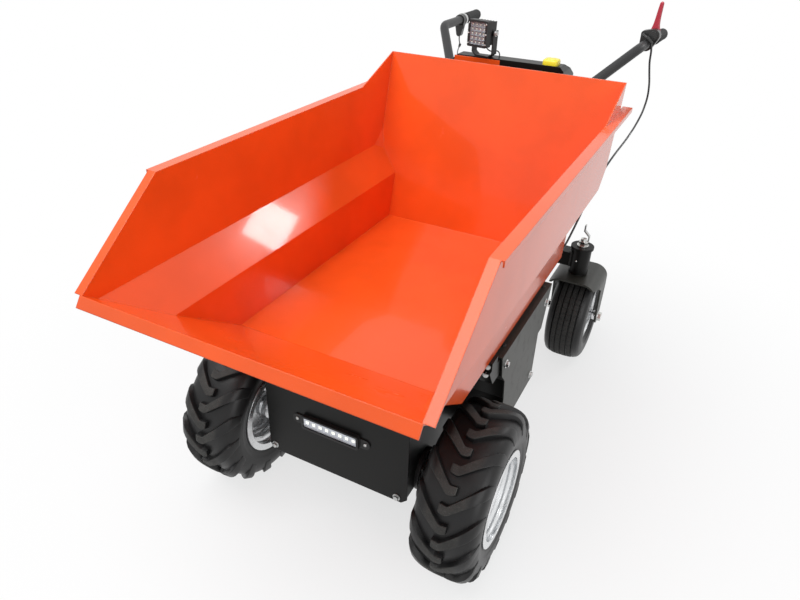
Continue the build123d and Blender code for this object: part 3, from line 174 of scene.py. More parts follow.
def smooth_path(points, count):
    """Even stations on a Catmull-Rom curve: the cubic blend of each four neighbours."""
    points = np.asarray(points, float)
    padded = np.vstack([2 * points[0] - points[1], points, 2 * points[-1] - points[-2]])
    t = np.linspace(0, len(points) - 1 - 1e-9, count)
    k = t.astype(int)
    u = (t - k)[:, None]
    a, b, c, d = (padded[k + n] for n in range(4))
    return 0.5 * (
        2 * b + (c - a) * u + (2 * a - 5 * b + 4 * c - d) * u**2 + (3 * b - a - 3 * c + d) * u**3
    )


def walked(path):
    """Length along a path at each of its points."""
    return np.concatenate([[0], np.cumsum(np.linalg.norm(np.diff(path, axis=0), axis=1))])


def superellipse(count, power):
    """Points of |x|^n + |y|^n = 1: the signs of cosine and sine times their sizes to the 2/n."""
    angle = np.arange(count) * TURN / count
    wave = np.stack([np.cos(angle), np.sin(angle)], axis=1)
    return np.sign(wave) * np.abs(wave) ** (2.0 / power)


def tube(path, radius, around):
    """Rings along a path: radius times cosine and sine on two directions square to its tangent."""
    path = np.asarray(path, float)
    radius = np.broadcast_to(np.asarray(radius, float), len(path))
    tangent = np.gradient(path, axis=0)
    tangent /= np.linalg.norm(tangent, axis=1)[:, None]
    side = np.cross(tangent, across(tangent.mean(axis=0))[0])
    side /= np.linalg.norm(side, axis=1)[:, None]
    lift = np.cross(tangent, side)
    angle = np.arange(around) * TURN / around
    wave, rise = np.cos(angle)[None, :, None], np.sin(angle)[None, :, None]
    ring = wave * side[:, None] + rise * lift[:, None]
    return path[:, None] + radius[:, None, None] * ring


# ---------------------------------------------------------------- finishes
BRIGHT_ZINC = (0.62, 0.62, 0.6)
STEM_NUT_R = 0.0186
AXLE_NUT_R = 0.0165


def grey(level):
    """A colour with its three shares alike."""
    return (level, level, level)


class Value:
    """A shader socket that sums can be written on: each operator adds its Math node."""

    def __init__(self, finish, socket):
        self.finish = finish
        self.socket = socket

    def sum(self, operation, *terms):
        """A Math node of this operation on values and numbers."""
        return self.finish.node("ShaderNodeMath", {"operation": operation}, dict(enumerate(terms)))

    def __add__(self, other):
        return self.sum("ADD", self, other)

    def __radd__(self, other):
        return self.sum("ADD", other, self)

    def __sub__(self, other):
        return self.sum("SUBTRACT", self, other)

    def __rsub__(self, other):
        return self.sum("SUBTRACT", other, self)

    def __mul__(self, other):
        return self.sum("MULTIPLY", self, other)

    def __pow__(self, other):
        return self.sum("POWER", self, other)


class Finish:
    """One node material: `node` adds any shader node, the other methods the ones used most."""

    def __init__(self, name, owner=None):
        self.material = owner or bpy.data.materials.new(name)
        self.material.use_nodes = True
        self.tree = self.material.node_tree
        self.tree.nodes.clear()

    def node(self, kind, settings=None, sockets=None, out=0):
        """A node: its settings first, then its sockets set or linked.  Returns one output."""
        made = self.tree.nodes.new(kind)
        for key, value in (settings or {}).items():
            setattr(made, key, value)
        for key, value in (sockets or {}).items():
            if isinstance(value, Value):
                self.tree.links.new(value.socket, made.inputs[key])
            elif isinstance(value, tuple) and len(value) == 3 and made.inputs[key].type == "RGBA":
                made.inputs[key].default_value = (*value, 1.0)
            else:
                made.inputs[key].default_value = value
        return Value(self, made.outputs[out])

    def place(self):
        """The point on the object, in metres."""
        return self.node("ShaderNodeTexCoord", out=3)

    def along(self, axis):
        """One coordinate of the point on the object: nought, one or two for X, Y or Z."""
        return self.node("ShaderNodeSeparateXYZ", None, {"Vector": self.place()}, out=axis)

    def noise(self, scale, detail, roughness=0.55):
        """Smooth noise with about as many clouds to the metre as its scale."""
        sockets = {"Scale": scale, "Detail": detail, "Roughness": roughness}
        return self.node("ShaderNodeTexNoise", None, {"Vector": self.place(), **sockets})

    def between(self, value, low, high):
        """Nought below low, one above high, and a smooth rise between them."""
        settings = {"interpolation_type": "SMOOTHSTEP", "clamp": True}
        sockets = {"Value": value, "From Min": low, "From Max": high}
        return self.node("ShaderNodeMapRange", settings, sockets)

    def patches(self, low, high, scale, detail, roughness=0.55):
        """Soft-edged patches: noise drawn out between two of its values."""
        return self.between(self.noise(scale, detail, roughness), low, high)

    def sharp(self, value, at):
        """One where the value is above a number, nought elsewhere."""
        return value.sum("GREATER_THAN", value, at)

    def mix(self, share, first, second):
        """Colour first where share is nought and second where it is one."""
        sockets = {0: share, 6: first, 7: second}
        return self.node("ShaderNodeMix", {"data_type": "RGBA"}, sockets, out=2)

    def vector(self, operation, first, second, out=0):
        """A Vector Math node on two vectors."""
        sockets = {0: first, 1: second}
        return self.node("ShaderNodeVectorMath", {"operation": operation}, sockets, out)

    def bump(self, height, distance, strength, under=None):
        """The normal tipped by a height in metres, over another normal if one is given."""
        sockets = {"Height": height, "Distance": distance, "Strength": strength}
        if under:
            sockets["Normal"] = under
        return self.node("ShaderNodeBump", None, sockets)

    def rounded(self, radius):
        """The surface's normal with its edges softened over a radius."""
        return self.node("ShaderNodeBevel", {"samples": 6}, {"Radius": radius})

    def skin(self, scale, distance, strength, radius):
        """The normal of a coat: softened edges with a fine grain of noise over them."""
        return self.bump(self.noise(scale, 2.0), distance, strength, self.rounded(radius))

    def axis_distance(self, middle):
        """Distance of the point from a line along X through the middle."""
        flat = self.vector("MULTIPLY", self.place(), (0.0, 1.0, 1.0))
        line = (0.0, float(middle[1]), float(middle[2]))
        return self.vector("DISTANCE", flat, line, out=1)

    def surface(self, **sockets):
        """Ends the material in a Principled shader with these sockets."""
        named = {key.replace("_", " "): value for key, value in sockets.items()}
        shader = self.node("ShaderNodeBsdfPrincipled", None, named)
        self.node_output(shader)
        return self.material

    def seen_ray(self):
        """One for a ray from the camera, off a gloss or through a cover, nought for the light's."""
        camera, glossy, through = (self.node("ShaderNodeLightPath", out=out) for out in (0, 3, 6))
        return camera + glossy + through

    def node_output(self, shader, kind="ShaderNodeOutputMaterial"):
        """Links the last shader to an output node."""
        end = self.tree.nodes.new(kind)
        self.tree.links.new(shader.socket, end.inputs["Surface"])


def tub_enamel(paint):
    """Gloss enamel: faint orange peel, softened edges, dust, and haze that dulls the gloss."""
    f = Finish("orange enamel")
    colour = tuple(paint.tub_colour)
    deep = tuple(c * 0.86 for c in colour)
    cloud = f.patches(0.3, 0.75, 5.0, 3.0)
    haze = f.patches(0.52, 0.8, 16.0, 6.0, 0.65)
    speck = f.patches(0.66, 0.72, 900.0, 1.0)
    return f.surface(
        Base_Color=f.mix(speck * 0.15, f.mix(cloud, colour, deep), (0.75, 0.35, 0.25)),
        Roughness=haze * 0.1 + paint.tub_roughness,
        Specular_IOR_Level=0.25,
        Coat_Weight=0.35,
        Coat_Roughness=0.05,
        Normal=f.skin(420.0, 0.00004, 0.7, 0.003),
    )


def black_powder_coat(paint):
    """Satin powder coat: a fine pebbled skin, paler where dust lies in broad patches."""
    f = Finish("black powder coat")
    colour = tuple(paint.chassis_colour)
    dust = f.patches(0.5, 0.85, 9.0, 6.0, 0.6)
    return f.surface(
        Base_Color=f.mix(dust * 0.3, colour, (0.02, 0.0195, 0.018)),
        Roughness=dust * 0.16 + 0.36,
        Specular_IOR_Level=0.18,
        Normal=f.skin(1500.0, 0.00005, 0.8, 0.0014),
    )


def gloss_black(name, colour, roughness):
    """Smooth black enamel for bars, covers and small castings, a little dusty."""
    f = Finish(name)
    dust = f.patches(0.5, 0.85, 30.0, 5.0, 0.6)
    return f.surface(
        Base_Color=f.mix(dust * 0.3, colour, (0.04, 0.038, 0.034)),
        Roughness=dust * 0.15 + roughness,
        Specular_IOR_Level=0.3,
        Normal=f.skin(700.0, 0.00003, 0.7, 0.001),
    )


def fork_enamel(colour, stem, nuts_from, axle, reach):
    """Fork enamel that turns to bright zinc where the CAD solid is a nut, washer or thread.

    Plated is the region above nuts_from near the stem's line, or farther than reach from the
    fork's middle near the axle's line.
    """
    f = Finish("fork enamel")
    out = f.along(0) - float(stem[0])
    line = (float(stem[0]), float(stem[1]), 0.0)
    from_stem = f.vector("DISTANCE", f.vector("MULTIPLY", f.place(), (1.0, 1.0, 0.0)), line, out=1)
    from_axle = f.axis_distance(axle)
    top = f.sharp(f.along(2), nuts_from) * (1 - f.sharp(from_stem, STEM_NUT_R))
    end = f.sharp(out.sum("ABSOLUTE", out), reach) * (1 - f.sharp(from_axle, AXLE_NUT_R))
    plated = top.sum("MAXIMUM", top, end)
    dust = f.patches(0.5, 0.85, 30.0, 5.0, 0.6)
    enamel = f.mix(dust * 0.3, colour, (0.05, 0.048, 0.042))
    return f.surface(
        Base_Color=f.mix(plated, enamel, BRIGHT_ZINC),
        Metallic=plated,
        Roughness=0.42 + dust * 0.12 - plated * 0.18,
        Specular_IOR_Level=0.4,
        Normal=f.skin(700.0, 0.00003, 0.7, 0.001),
    )


def silver_rim_paint():
    """Silver wheel enamel: a metal grain under lacquer with dull brushed-on dirt in patches."""
    f = Finish("silver wheel enamel")
    dirt = f.patches(0.5, 0.8, 14.0, 4.0, 0.5)
    grain = f.noise(2600.0, 1.0)
    # rolled steps: a sine wave along the axle
    out = f.along(0)
    steps = out.sum("SINE", out * 330.0) * 0.5
    return f.surface(
        Base_Color=f.mix(dirt * 0.5, (0.8, 0.81, 0.82), (0.5, 0.505, 0.51)),
        Metallic=0.85 - dirt * 0.3,
        Roughness=dirt * 0.15 + 0.24,
        Normal=f.bump(grain, 0.00003, 0.5, f.bump(steps, 0.0022, 0.8, f.rounded(0.0012))),
    )


def zinc_plate(name="zinc plate"):
    """Bright zinc with the faint cloudy spangle of plating."""
    f = Finish(name)
    spangle = f.noise(140.0, 3.0)
    return f.surface(
        Base_Color=f.mix(spangle, BRIGHT_ZINC, (0.42, 0.43, 0.44)),
        Metallic=1.0,
        Roughness=spangle * 0.2 + 0.22,
        Normal=f.rounded(0.0004),
    )


def tyre_rubber(name, middle, tread_from, tread_to, dusty, sipes=0):
    """Tyre rubber: black in the grooves, paler and dusty towards the tread's outer radius.

    Dust is the smooth rise of the distance from the axle between two radii, broken up by noise.
    It thins out towards the shoulders, by the square of the distance from the middle plane.
    Sipes are fine cuts across the tread: the cosine of a multiple of the angle, above a limit.
    """
    f = Finish(name)
    away = f.axis_distance(middle)
    out = f.along(0) - float(middle[0])
    inner = 1 - f.between(out * out, 0.0009, 0.0052) * 0.75
    worn = f.between(away, tread_from, tread_to) * inner
    patchy = f.patches(0.3, 0.65, 22.0, 6.0, 0.65)
    fleck = f.patches(0.56, 0.7, 750.0, 2.0)
    cloud = f.noise(60.0, 5.0)
    side = f.mix(cloud * 0.6, (0.0075, 0.0075, 0.008), (0.014, 0.0135, 0.0135))
    dust = f.mix(fleck * 0.6, (0.07, 0.069, 0.064), (0.24, 0.235, 0.22))
    skin = f.bump(f.noise(900.0, 3.0), 0.00012, 0.7, f.bump(f.noise(90.0, 3.0), 0.0004, 0.4))
    if sipes:
        ahead = f.along(1) - float(middle[1])
        up = f.along(2) - float(middle[2])
        angle = ahead.sum("ARCTAN2", ahead, up) * float(sipes)
        cut = f.between(angle.sum("COSINE", angle), 0.86, 0.97) * worn
        skin = f.bump(1 - cut, 0.0016, 1.0, skin)
    return f.surface(
        Base_Color=f.mix(worn * (patchy * 0.5 + 0.5) * dusty, side, dust),
        Roughness=worn * 0.3 + cloud * 0.12 + 0.34,
        Specular_IOR_Level=0.36,
        Normal=skin,
    )


def grip_rubber():
    """Soft black rubber with a fine matt skin."""
    f = Finish("soft grip rubber")
    cloud = f.noise(80.0, 4.0)
    return f.surface(
        Base_Color=f.mix(cloud, grey(0.012), grey(0.028)),
        Roughness=cloud * 0.15 + 0.6,
        Normal=f.bump(f.noise(1800.0, 2.0), 0.00008, 0.8),
    )


def moulded(name, colour, shade, roughness):
    """Moulded plastic: a slight cloud of colour and a fine spark-eroded grain."""
    f = Finish(name)
    cloud = f.noise(45.0, 4.0)
    return f.surface(
        Base_Color=f.mix(cloud, colour, shade),
        Roughness=cloud * 0.1 + roughness,
        Coat_Weight=0.15,
        Normal=f.skin(1400.0, 0.00003, 0.7, 0.0008),
    )


def lamp_glass():
    """Clear cover: mostly see-through, with a sharp reflection that grows towards grazing."""
    f = Finish("lamp cover")
    smear = f.patches(0.4, 0.8, 40.0, 4.0)
    clear = f.node("ShaderNodeBsdfTransparent", None, {"Color": (0.97, 0.98, 1.0)})
    gloss = f.node("ShaderNodeBsdfGlossy", None, {"Color": grey(1.0), "Roughness": 0.05})
    facing = f.node("ShaderNodeLayerWeight", None, {"Blend": 0.5}, out=1)
    share = facing**4.0 * 0.8 + smear * 0.04
    f.node_output(f.node("ShaderNodeMixShader", None, {0: share, 1: clear, 2: gloss}))
    return f.material


def led_glow(name, strength):
    """A lamp's light element: pale yellow phosphor, clouded a little by noise. Its glow is a
    painted highlight, bright on the light bar and faint on the work lamp.
    """
    f = Finish(name)
    spot = f.noise(500.0, 1.0)
    return f.surface(
        Base_Color=f.mix(spot, (0.92, 0.93, 0.74), (0.85, 0.86, 0.62)),
        Emission_Color=(1.0, 1.0, 0.9),
        Emission_Strength=strength,
        Roughness=0.25,
    )


def reflector_chrome(name, shade):
    """Vacuum-metalled reflector cups, clouded between a shade and nine tenths of it. The shade is a
    painted reflection: pale on the light bar, dark on the work lamp.
    """
    f = Finish(name)
    cloud = f.noise(60.0, 2.0)
    return f.surface(
        Base_Color=f.mix(cloud, grey(shade), grey(shade * 0.9)),
        Metallic=0.3,
        Roughness=cloud * 0.08 + 0.2,
    )


# ---------------------------------------------------------------- settings a user would change
LUG_HEIGHT = 0.013


class DumperPaint(bpy.types.PropertyGroup):
    """Colours and gloss of the painted parts."""

    tub_colour: bpy.props.FloatVectorProperty(
        name="Tub", description="Enamel of the tub", subtype="COLOR",
        default=(0.86, 0.1, 0.012), min=0.0, max=1.0,
    )
    chassis_colour: bpy.props.FloatVectorProperty(
        name="Chassis", description="Powder coat of the frame and covers", subtype="COLOR",
        default=(0.006, 0.006, 0.0055), min=0.0, max=1.0,
    )
    lever_colour: bpy.props.FloatVectorProperty(
        name="Lever", description="Dipped coat of the brake lever", subtype="COLOR",
        default=(0.5, 0.02, 0.045), min=0.0, max=1.0,
    )
    stop_colour: bpy.props.FloatVectorProperty(
        name="Stop switch", description="Cap of the stop switch", subtype="COLOR",
        default=(0.92, 0.78, 0.03), min=0.0, max=1.0,
    )
    tub_roughness: bpy.props.FloatProperty(
        name="Tub roughness", description="Nought is a mirror", subtype="FACTOR",
        default=0.2, min=0.0, max=1.0,
    )


class DumperTyres(bpy.types.PropertyGroup):
    """Tread of the driven tyres and ribs of the caster tyres."""

    lugs: bpy.props.IntProperty(
        name="Lugs a side", description="Bars in each row", default=15, min=6, max=30
    )
    lug_height: bpy.props.FloatProperty(
        name="Lug height", description="Bars above the carcass", unit="LENGTH",
        default=LUG_HEIGHT, min=0.002, max=0.03,
    )
    ribs: bpy.props.IntProperty(
        name="Caster grooves", description="Grooves round the tyre", default=5, min=1, max=9
    )
    groove: bpy.props.FloatProperty(
        name="Groove depth", description="Depth of each groove", unit="LENGTH",
        default=0.005, min=0.001, max=0.01,
    )
    dust: bpy.props.FloatProperty(
        name="Dust", description="How much dust the tread carries", subtype="FACTOR",
        default=0.75, min=0.0, max=1.0,
    )


class DumperFittings(bpy.types.PropertyGroup):
    """Sizes of the small fittings."""

    bolt: bpy.props.FloatProperty(
        name="Bolt", description="Width over a bolt head", unit="LENGTH",
        default=0.013, min=0.004, max=0.03,
    )
    weld: bpy.props.FloatProperty(
        name="Weld", description="Radius of a weld bead", unit="LENGTH",
        default=0.0024, min=0.0005, max=0.008,
    )
    lamp_cells: bpy.props.IntProperty(
        name="Lamp cells", description="Cells across the work lamp", default=4, min=2, max=6
    )
    bar_cells: bpy.props.IntProperty(
        name="Bar cells", description="Cells along the light bar", default=8, min=2, max=12
    )


class DumperStage(bpy.types.PropertyGroup):
    """Light and lens."""

    key_power: bpy.props.FloatProperty(
        name="Key light", description="Power of the main soft lamp", unit="POWER",
        default=98.0, min=0.0,
    )
    sky: bpy.props.FloatProperty(
        name="Sky", description="Brightness of the surroundings", default=0.42, min=0.0
    )
    lens: bpy.props.FloatProperty(
        name="Lens", description="Focal length in millimetres", default=29.39, min=10.0
    )


# ---------------------------------------------------------------- tyres
# outlines in millimetres: (across from the tyre's middle plane, radius)
TREAD_CROWN = (
    (-14, 202.6), (0, 202.85), (20, 202.85), (38, 201.6), (54, 197.6),
    (64, 191.5), (71.2, 182), (75, 170), (76.5, 158), (76.2, 147),
)
CARCASS = (
    (0, 190), (18, 190), (36, 188.8), (52, 185.5), (62, 181), (69, 173.5),
    (73.5, 163), (75.5, 152), (75.2, 143), (73.6, 136), (73.4, 133.5), (72.4, 132),
    (71.6, 125), (70.5, 121), (69.6, 118.6), (68.4, 117.6), (67.9, 113), (67.8, 102.2),
)
CASTER_WALL = (
    (53.5, 149), (57, 143), (58.2, 141), (58.4, 139.6), (60.6, 132),
    (61.8, 122), (61.4, 114), (59.6, 106), (59.4, 103.8), (57.6, 103),
    (54, 97), (49.5, 92), (46.5, 90), (45.4, 86), (45.3, 77),
)
CASTER_R = 160.5
CASTER_HALF = 50
CASTER_FALL = 8.5
GROOVE_SPAN = 72.0
GROOVE_HALF = 2.1

# a tread bar in millimetres, walked along the crown from its head to its tail on the shoulder
LUG_PHASE = np.radians(-8.0)
LUG_START = -14
LUG_MIDDLE = 46
TREAD_R = 203
LUG_HEAD = (0.0, 0.3, 0.8, 1.6, 5, 9, 13, 16, 19, 22, 28, 36, 46, 56, 66, 76, 86, 96)
LUG_TAIL = (7.0, 4.5, 2.5, 1.2, 0.4, 0.0)
# how far each side's points stand off its edge, and how far they sink below the crown there
LUG_SIDE = (-2.8, -0.4, 0.1, 0.7, 1.8)
LUG_SIDE_FALL = (15.0, 1.7, 0.6, 0.15, 0.0)


def profile_normals(profile):
    """Outward unit normals of a profile in its plane: the tangent turned a quarter turn."""
    tangent = np.gradient(profile, axis=0)
    tangent /= np.linalg.norm(tangent, axis=1)[:, None]
    return np.stack([-tangent[:, 1], tangent[:, 0]], axis=1)


def wheel_points(middle, outward, off_middle, radius, angle):
    """Points of a wheel by distance off its middle plane, radius and angle up from ahead."""
    x = middle[0] + outward * off_middle
    y = middle[1] - radius * np.cos(angle)
    z = middle[2] + radius * np.sin(angle)
    return np.stack(np.broadcast_arrays(x, y, z), axis=-1)


def round_tyre(pieces, middle, profile, segments):
    """A tyre: a closed profile of (across, radius) points carried round the axle."""
    angle = -np.arange(segments) * TURN / segments
    pieces.hoop(wheel_points(middle, 1.0, profile[None, :, 0], profile[None, :, 1], angle[:, None]))


def lug_shell(middle, outward, turn, height):
    """One tread bar: a bevelled section swept from its head over the crown and down the shoulder.

    Stations follow the crown's outline.  The section's edges are two lines of the developed tread,
    and each point sinks below the crown by the larger of the side's and the end's fall.
    """
    crown = smooth_path(TREAD_CROWN, 60)
    walk = walked(crown) + LUG_START
    reach = walk[-1]
    station = np.concatenate([np.array(LUG_HEAD) + LUG_START, reach - np.array(LUG_TAIL)])
    off_middle = np.interp(station, walk, crown[:, 0])
    radius = np.interp(station, walk, crown[:, 1])
    normal = profile_normals(np.stack([off_middle, radius], axis=1))
    low = np.interp(station, [-14, -8, 2, 7, 68, 84, reach], [5.5, 1.0, 0, 1.0, 50, 60, 74])
    high = np.interp(station, [-14, 2, 6, 68, 84, reach], [21, 19.5, 21, 82, 93, 102])
    end_fall = np.interp(station, [-14, -13.7, -13.2, -12.4, -9], [14, 1.6, 0.6, 0.15, 0])
    end_fall += np.interp(station, reach - np.array(LUG_TAIL[1:]), [0, 0.6, 2, 5, 12])
    side = np.array(LUG_SIDE)
    side_fall = np.array(LUG_SIDE_FALL)
    along = np.concatenate([low[:, None] + side, (high[:, None] - side)[:, ::-1]], axis=1)
    fall = np.maximum(np.concatenate([side_fall, side_fall[::-1]])[None], end_fall[:, None])
    fall *= height / LUG_HEIGHT * MM
    angle = turn + (along - LUG_MIDDLE) / TREAD_R
    sunk = off_middle[:, None] * MM - normal[:, :1] * fall
    radius = radius[:, None] * MM - normal[:, 1:] * fall
    return wheel_points(middle, outward, sunk, radius, angle)


class DUMPER_OT_lugged_tyres(bpy.types.Operator):
    """Driven tyres: a moulded carcass with two staggered rows of bevelled bars"""

    bl_idname = "dumper.lugged_tyres"
    bl_label = "Lugged tyres"

    def execute(self, context):
        tyres = context.scene.dumper_tyres
        right = np.array(CARCASS)
        profile = np.vstack([right[::-1] * (-1, 1), right[1:]]) * MM
        for side, _ in SIDES:
            node = f"front_tyre_{side}"
            middle = centre(node)
            finish = tyre_rubber(f"driven tyre rubber {side}", middle, 0.199, 0.2024, tyres.dust)
            pieces = Pieces()
            round_tyre(pieces, middle, profile, 180)
            for outward, lead in ((1.0, 0.0), (-1.0, 0.5)):
                for index in range(tyres.lugs):
                    turn = TURN * (index + lead) / tyres.lugs + LUG_PHASE
                    pieces.sweep(lug_shell(middle, outward, turn, tyres.lug_height))
            name, body = f"lugged_tyre_{side}", f"front_wheel_{side}"
            piece = pieces.make(name, body, finish, 50.0)
            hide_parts(node)
        return {"FINISHED"}


class DUMPER_OT_ribbed_tyres(bpy.types.Operator):
    """Caster tyres: straight ribs between grooves, and rings on the sidewalls"""

    bl_idname = "dumper.ribbed_tyres"
    bl_label = "Ribbed tyres"

    def execute(self, context):
        tyres = context.scene.dumper_tyres
        width = np.linspace(-CASTER_HALF, CASTER_HALF, 201)
        crown = CASTER_R - CASTER_FALL * np.abs(width / CASTER_HALF) ** 3.2
        pitch = GROOVE_SPAN / max(tyres.ribs - 1, 1)
        half = GROOVE_SPAN / 2
        place = np.clip(np.round((width + half) / pitch), 0, tyres.ribs - 1) * pitch - half
        # a groove's depth falls off with the square of the distance from its middle line
        groove = np.clip(1.3 - (np.abs(width - place) / GROOVE_HALF) ** 2, 0, 1)
        tread = np.stack([width, crown - groove * tyres.groove / MM], axis=1)
        right = np.array(CASTER_WALL)
        profile = np.vstack([right[::-1] * (-1, 1), tread, right]) * MM
        for side, _ in SIDES:
            node = f"caster_tyre_{side}"
            middle = centre(node)
            name, dust = f"caster tyre rubber {side}", tyres.dust * 0.6
            finish = tyre_rubber(name, middle, 0.1545, 0.1595, dust, 54)
            pieces = Pieces()
            round_tyre(pieces, middle, profile, 160)
            name, body = f"ribbed_tyre_{side}", f"caster_wheel_{side}"
            piece = pieces.make(name, body, finish, 60.0)
            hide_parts(node)
        return {"FINISHED"}


# ---------------------------------------------------------------- fasteners
# outlines in widths over the flats: (radius, height)
WASHER = ((0.84, 0), (0.86, 0.03), (0.83, 0.13))
HEX_HEAD = ((0.6, 0.12), (0.6, 0.5), (0.55, 0.58), (0.48, 0.6))
# outlines in millimetres: the axle's washer and end disc on a caster fork
FORK_WASHER = ((18.2, 0), (18.4, 0.4), (17.8, 2))
AXLE_END = ((9.8, 0), (9.6, 0.4), (8.6, 0.9))
# the bolts of a side cover: (behind its front edge, above its top edge)
SIDE_COVER_BOLTS = ((0.034, -0.037), (0.348, -0.037), (0.1, -0.25), (0.3, -0.25))
# the screws of a tub rest: (height, behind its front edge)
REST_SCREWS = ((0.464, 0.0125), (0.449, 0.0025))
# rings of bolts: their radii, and the place of an axle flange's outer face
FLANGE_X = 0.196
FLANGE_RING = 0.044
WHEEL_RING = 0.05
CASTER_RING = 0.034


def dome(radius, height, end, count):
    """Outline of a dome: radius times the cosine and height times the sine of a rising angle."""
    return [(radius * np.cos(a), height * np.sin(a)) for a in np.linspace(0, end, count)]


def bolt(pieces, at, axis, width, washer=True):
    """A hex head on its washer: turned outlines, the head's reach following six flats."""
    if washer:
        pieces.sweep(turned(at, axis, np.array(WASHER) * width, 20))
    pieces.sweep(turned(at, axis, np.array(HEX_HEAD) * width, 24, sides=6))


def dome_screw(pieces, at, axis, width):
    """A button-head screw: a quarter-circle dome with a shallow socket in its top."""
    socket = [(width * 0.13, width * 0.33), (width * 0.12, width * 0.18)]
    pieces.sweep(turned(at, axis, dome(width / 2, width * 0.35, 1.25, 6) + socket, 16))


def bolt_ring(pieces, middle, radius, count, start, sign, width, washer=True):
    """Bolts round a line along X: the middle plus radius times (cosine, sine) of even angles."""
    for turn in np.arange(count) * TURN / count + start:
        spot = (middle[0], middle[1] + radius * np.cos(turn), middle[2] + radius * np.sin(turn))
        bolt(pieces, spot, (sign, 0, 0), width, washer)


def chassis_bolts(bright, dark, width, stem_y):
    """Bolts and screws on the covers, stem housings, tub rests, rear arms and axle flanges."""
    low, high = corners("front_cover")
    bolt(bright, (low[0] + 0.014, low[1], low[2] + 0.016), FORWARD, width * 0.85)
    bolt(bright, (high[0] - 0.026, low[1], low[2] + 0.012), FORWARD, width * 0.85)
    light_low, light_high = corners("light_bar_housing")
    light = (light_low + light_high) / 2
    for sign in (-1, 1):
        x = light[0] + sign * (light_high[0] - light[0] - 0.012)
        dome_screw(bright, (x, light_high[1] - 0.003, light[2]), FORWARD, 0.009)
    rest_low, rest_high = corners("tub_rests")
    for side, sign in SIDES:
        low, high = corners(f"side_cover_{side}")
        face = high[0] if sign > 0 else low[0]
        for back, up in SIDE_COVER_BOLTS:
            bolt(bright, (face, low[1] + back, high[2] + up), (sign, 0, 0), width)
        for y in (high[1] - 0.03, low[1] + 0.05):
            bolt(dark, (sign * (abs(face) - 0.016), y, high[2] - 0.003), UPWARD, width * 0.8)
        grub = (centre(f"caster_fork_{side}")[0] - sign * 0.006, stem_y - 0.0295, 0.397)
        dome_screw(bright, grub, FORWARD, width * 0.5)
        for up, back in REST_SCREWS:
            spot = (sign * (rest_high[0] - 0.010), rest_low[1] + back, up)
            bolt(bright, spot, (0, -1, 0.35), width * 0.6)
    low, high = corners("rear_arms")
    hub = centre("axle_housing")
    for sign in (-1, 1):
        for back in (0.03, 0.07):
            spot = (sign * high[0], high[1] - back, (low[2] + high[2]) / 2)
            bolt(dark, spot, (sign, 0, 0), width * 0.9)
        flange = (sign * FLANGE_X, hub[1], hub[2])
        bolt_ring(dark, flange, FLANGE_RING, 6, 0.3, sign, width * 0.7, washer=False)


def fork_caps(pieces, side, axle, stem_y):
    """Washers and end discs of a caster's axle, and the dome on its stem."""
    low, high = corners(f"caster_fork_{side}")
    for face, x in ((-1, low[0]), (1, high[0])):
        for inset, outline, around in ((0.0118, FORK_WASHER, 28), (0.001, AXLE_END, 24)):
            at = (x - face * inset, axle[1], axle[2])
            pieces.sweep(turned(at, (face, 0, 0), np.array(outline) * MM, around))
    top = ((low[0] + high[0]) / 2, stem_y, high[2] - 0.001)
    pieces.sweep(turned(top, UPWARD, dome(0.0088, 0.0009, 1.4, 7), 24))


class DUMPER_OT_fasteners(bpy.types.Operator):
    """Bolts, nuts and screws on the covers, casters, hinge, arms and wheels"""

    bl_idname = "dumper.fasteners"
    bl_label = "Fasteners"

    def execute(self, context):
        width = context.scene.dumper_fittings.bolt
        zinc = zinc_plate()
        black = gloss_black("blackened bolts", grey(0.02), 0.4)
        bright = Pieces()
        dark = Pieces()
        stem_y = centre("rear_cross_tube")[1]
        chassis_bolts(bright, dark, width, stem_y)
        bright.make("bright_bolts", "chassis", zinc)
        dark.make("black_bolts", "chassis", black)
        for side, sign in SIDES:
            wheel = Pieces()
            x, y, z = centre(f"front_tyre_{side}")
            disc = (x - sign * 0.015, y, z)
            bolt_ring(wheel, disc, WHEEL_RING, 4, 0.6, sign, width * 1.15)
            bolt(wheel, (x - sign * 0.002, y, z), (sign, 0, 0), width * 1.7)
            wheel.make(f"wheel_bolts_{side}", f"front_wheel_{side}", zinc)
            caster = Pieces()
            x, y, z = centre(f"caster_tyre_{side}")
            for face in (-1, 1):
                hub = (x + face * 0.006, y, z)
                bolt_ring(caster, hub, CASTER_RING, 4, 0.3, face, width * 0.75, washer=False)
            caster.make(f"caster_bolts_{side}", f"caster_wheel_{side}", zinc)
            fork = Pieces()
            fork_caps(fork, side, (x, y, z), stem_y)
            fork.make(f"fork_nuts_{side}", f"caster_{side}", zinc)
        return {"FINISHED"}


# ---------------------------------------------------------------- lamps
LAMP_YAW = np.radians(-12.0)
WORK_LENS = 0.005
COVER = 0.0008
COVER_BEVEL = 0.0003
CELL_SINK = 0.0012
CELL_GAP = 0.0002
# the work lamp's screws from its face's middle, and its pivot bolts behind and beside it
SCREW_ASIDE = 0.029
SCREW_STEP = 0.027
PIVOT_BACK = 0.042
PIVOT_ASIDE = 0.0353


def box_rings(middle, axes, half, heights):
    """Rectangles along two axes: half sizes and a height along the third axis for each ring."""
    flat = half[:, None] * np.array([(-1, -1), (1, -1), (1, 1), (-1, 1)])
    level = np.broadcast_to(heights[:, None, None], (len(half), 4, 1))
    return middle + np.concatenate([flat, level], axis=2) @ axes


def slab(middle, axes, size, low, high, bevel):
    """Rings of a bevelled slab: rectangles from low to high, the last drawn in by the bevel."""
    steps = np.array([(0, low), (0, high - bevel), (bevel, high)])
    return box_rings(middle, axes, np.array(size) / 2 - steps[:, :1], steps[:, 1])


def reflector_cell(middle, axes, size, depth, chip):
    """Rings of a square reflector: up the outside, over its rim and down four walls to the chip."""
    steps = np.array([(0, -depth), (0, 0), (0.035, 0.02 * depth), (1, 0.25 * depth - depth)])
    half = size / 2 * (1 - steps[:, :1]) + chip / 2 * steps[:, :1]
    return box_rings(middle, axes, half, steps[:, 1])


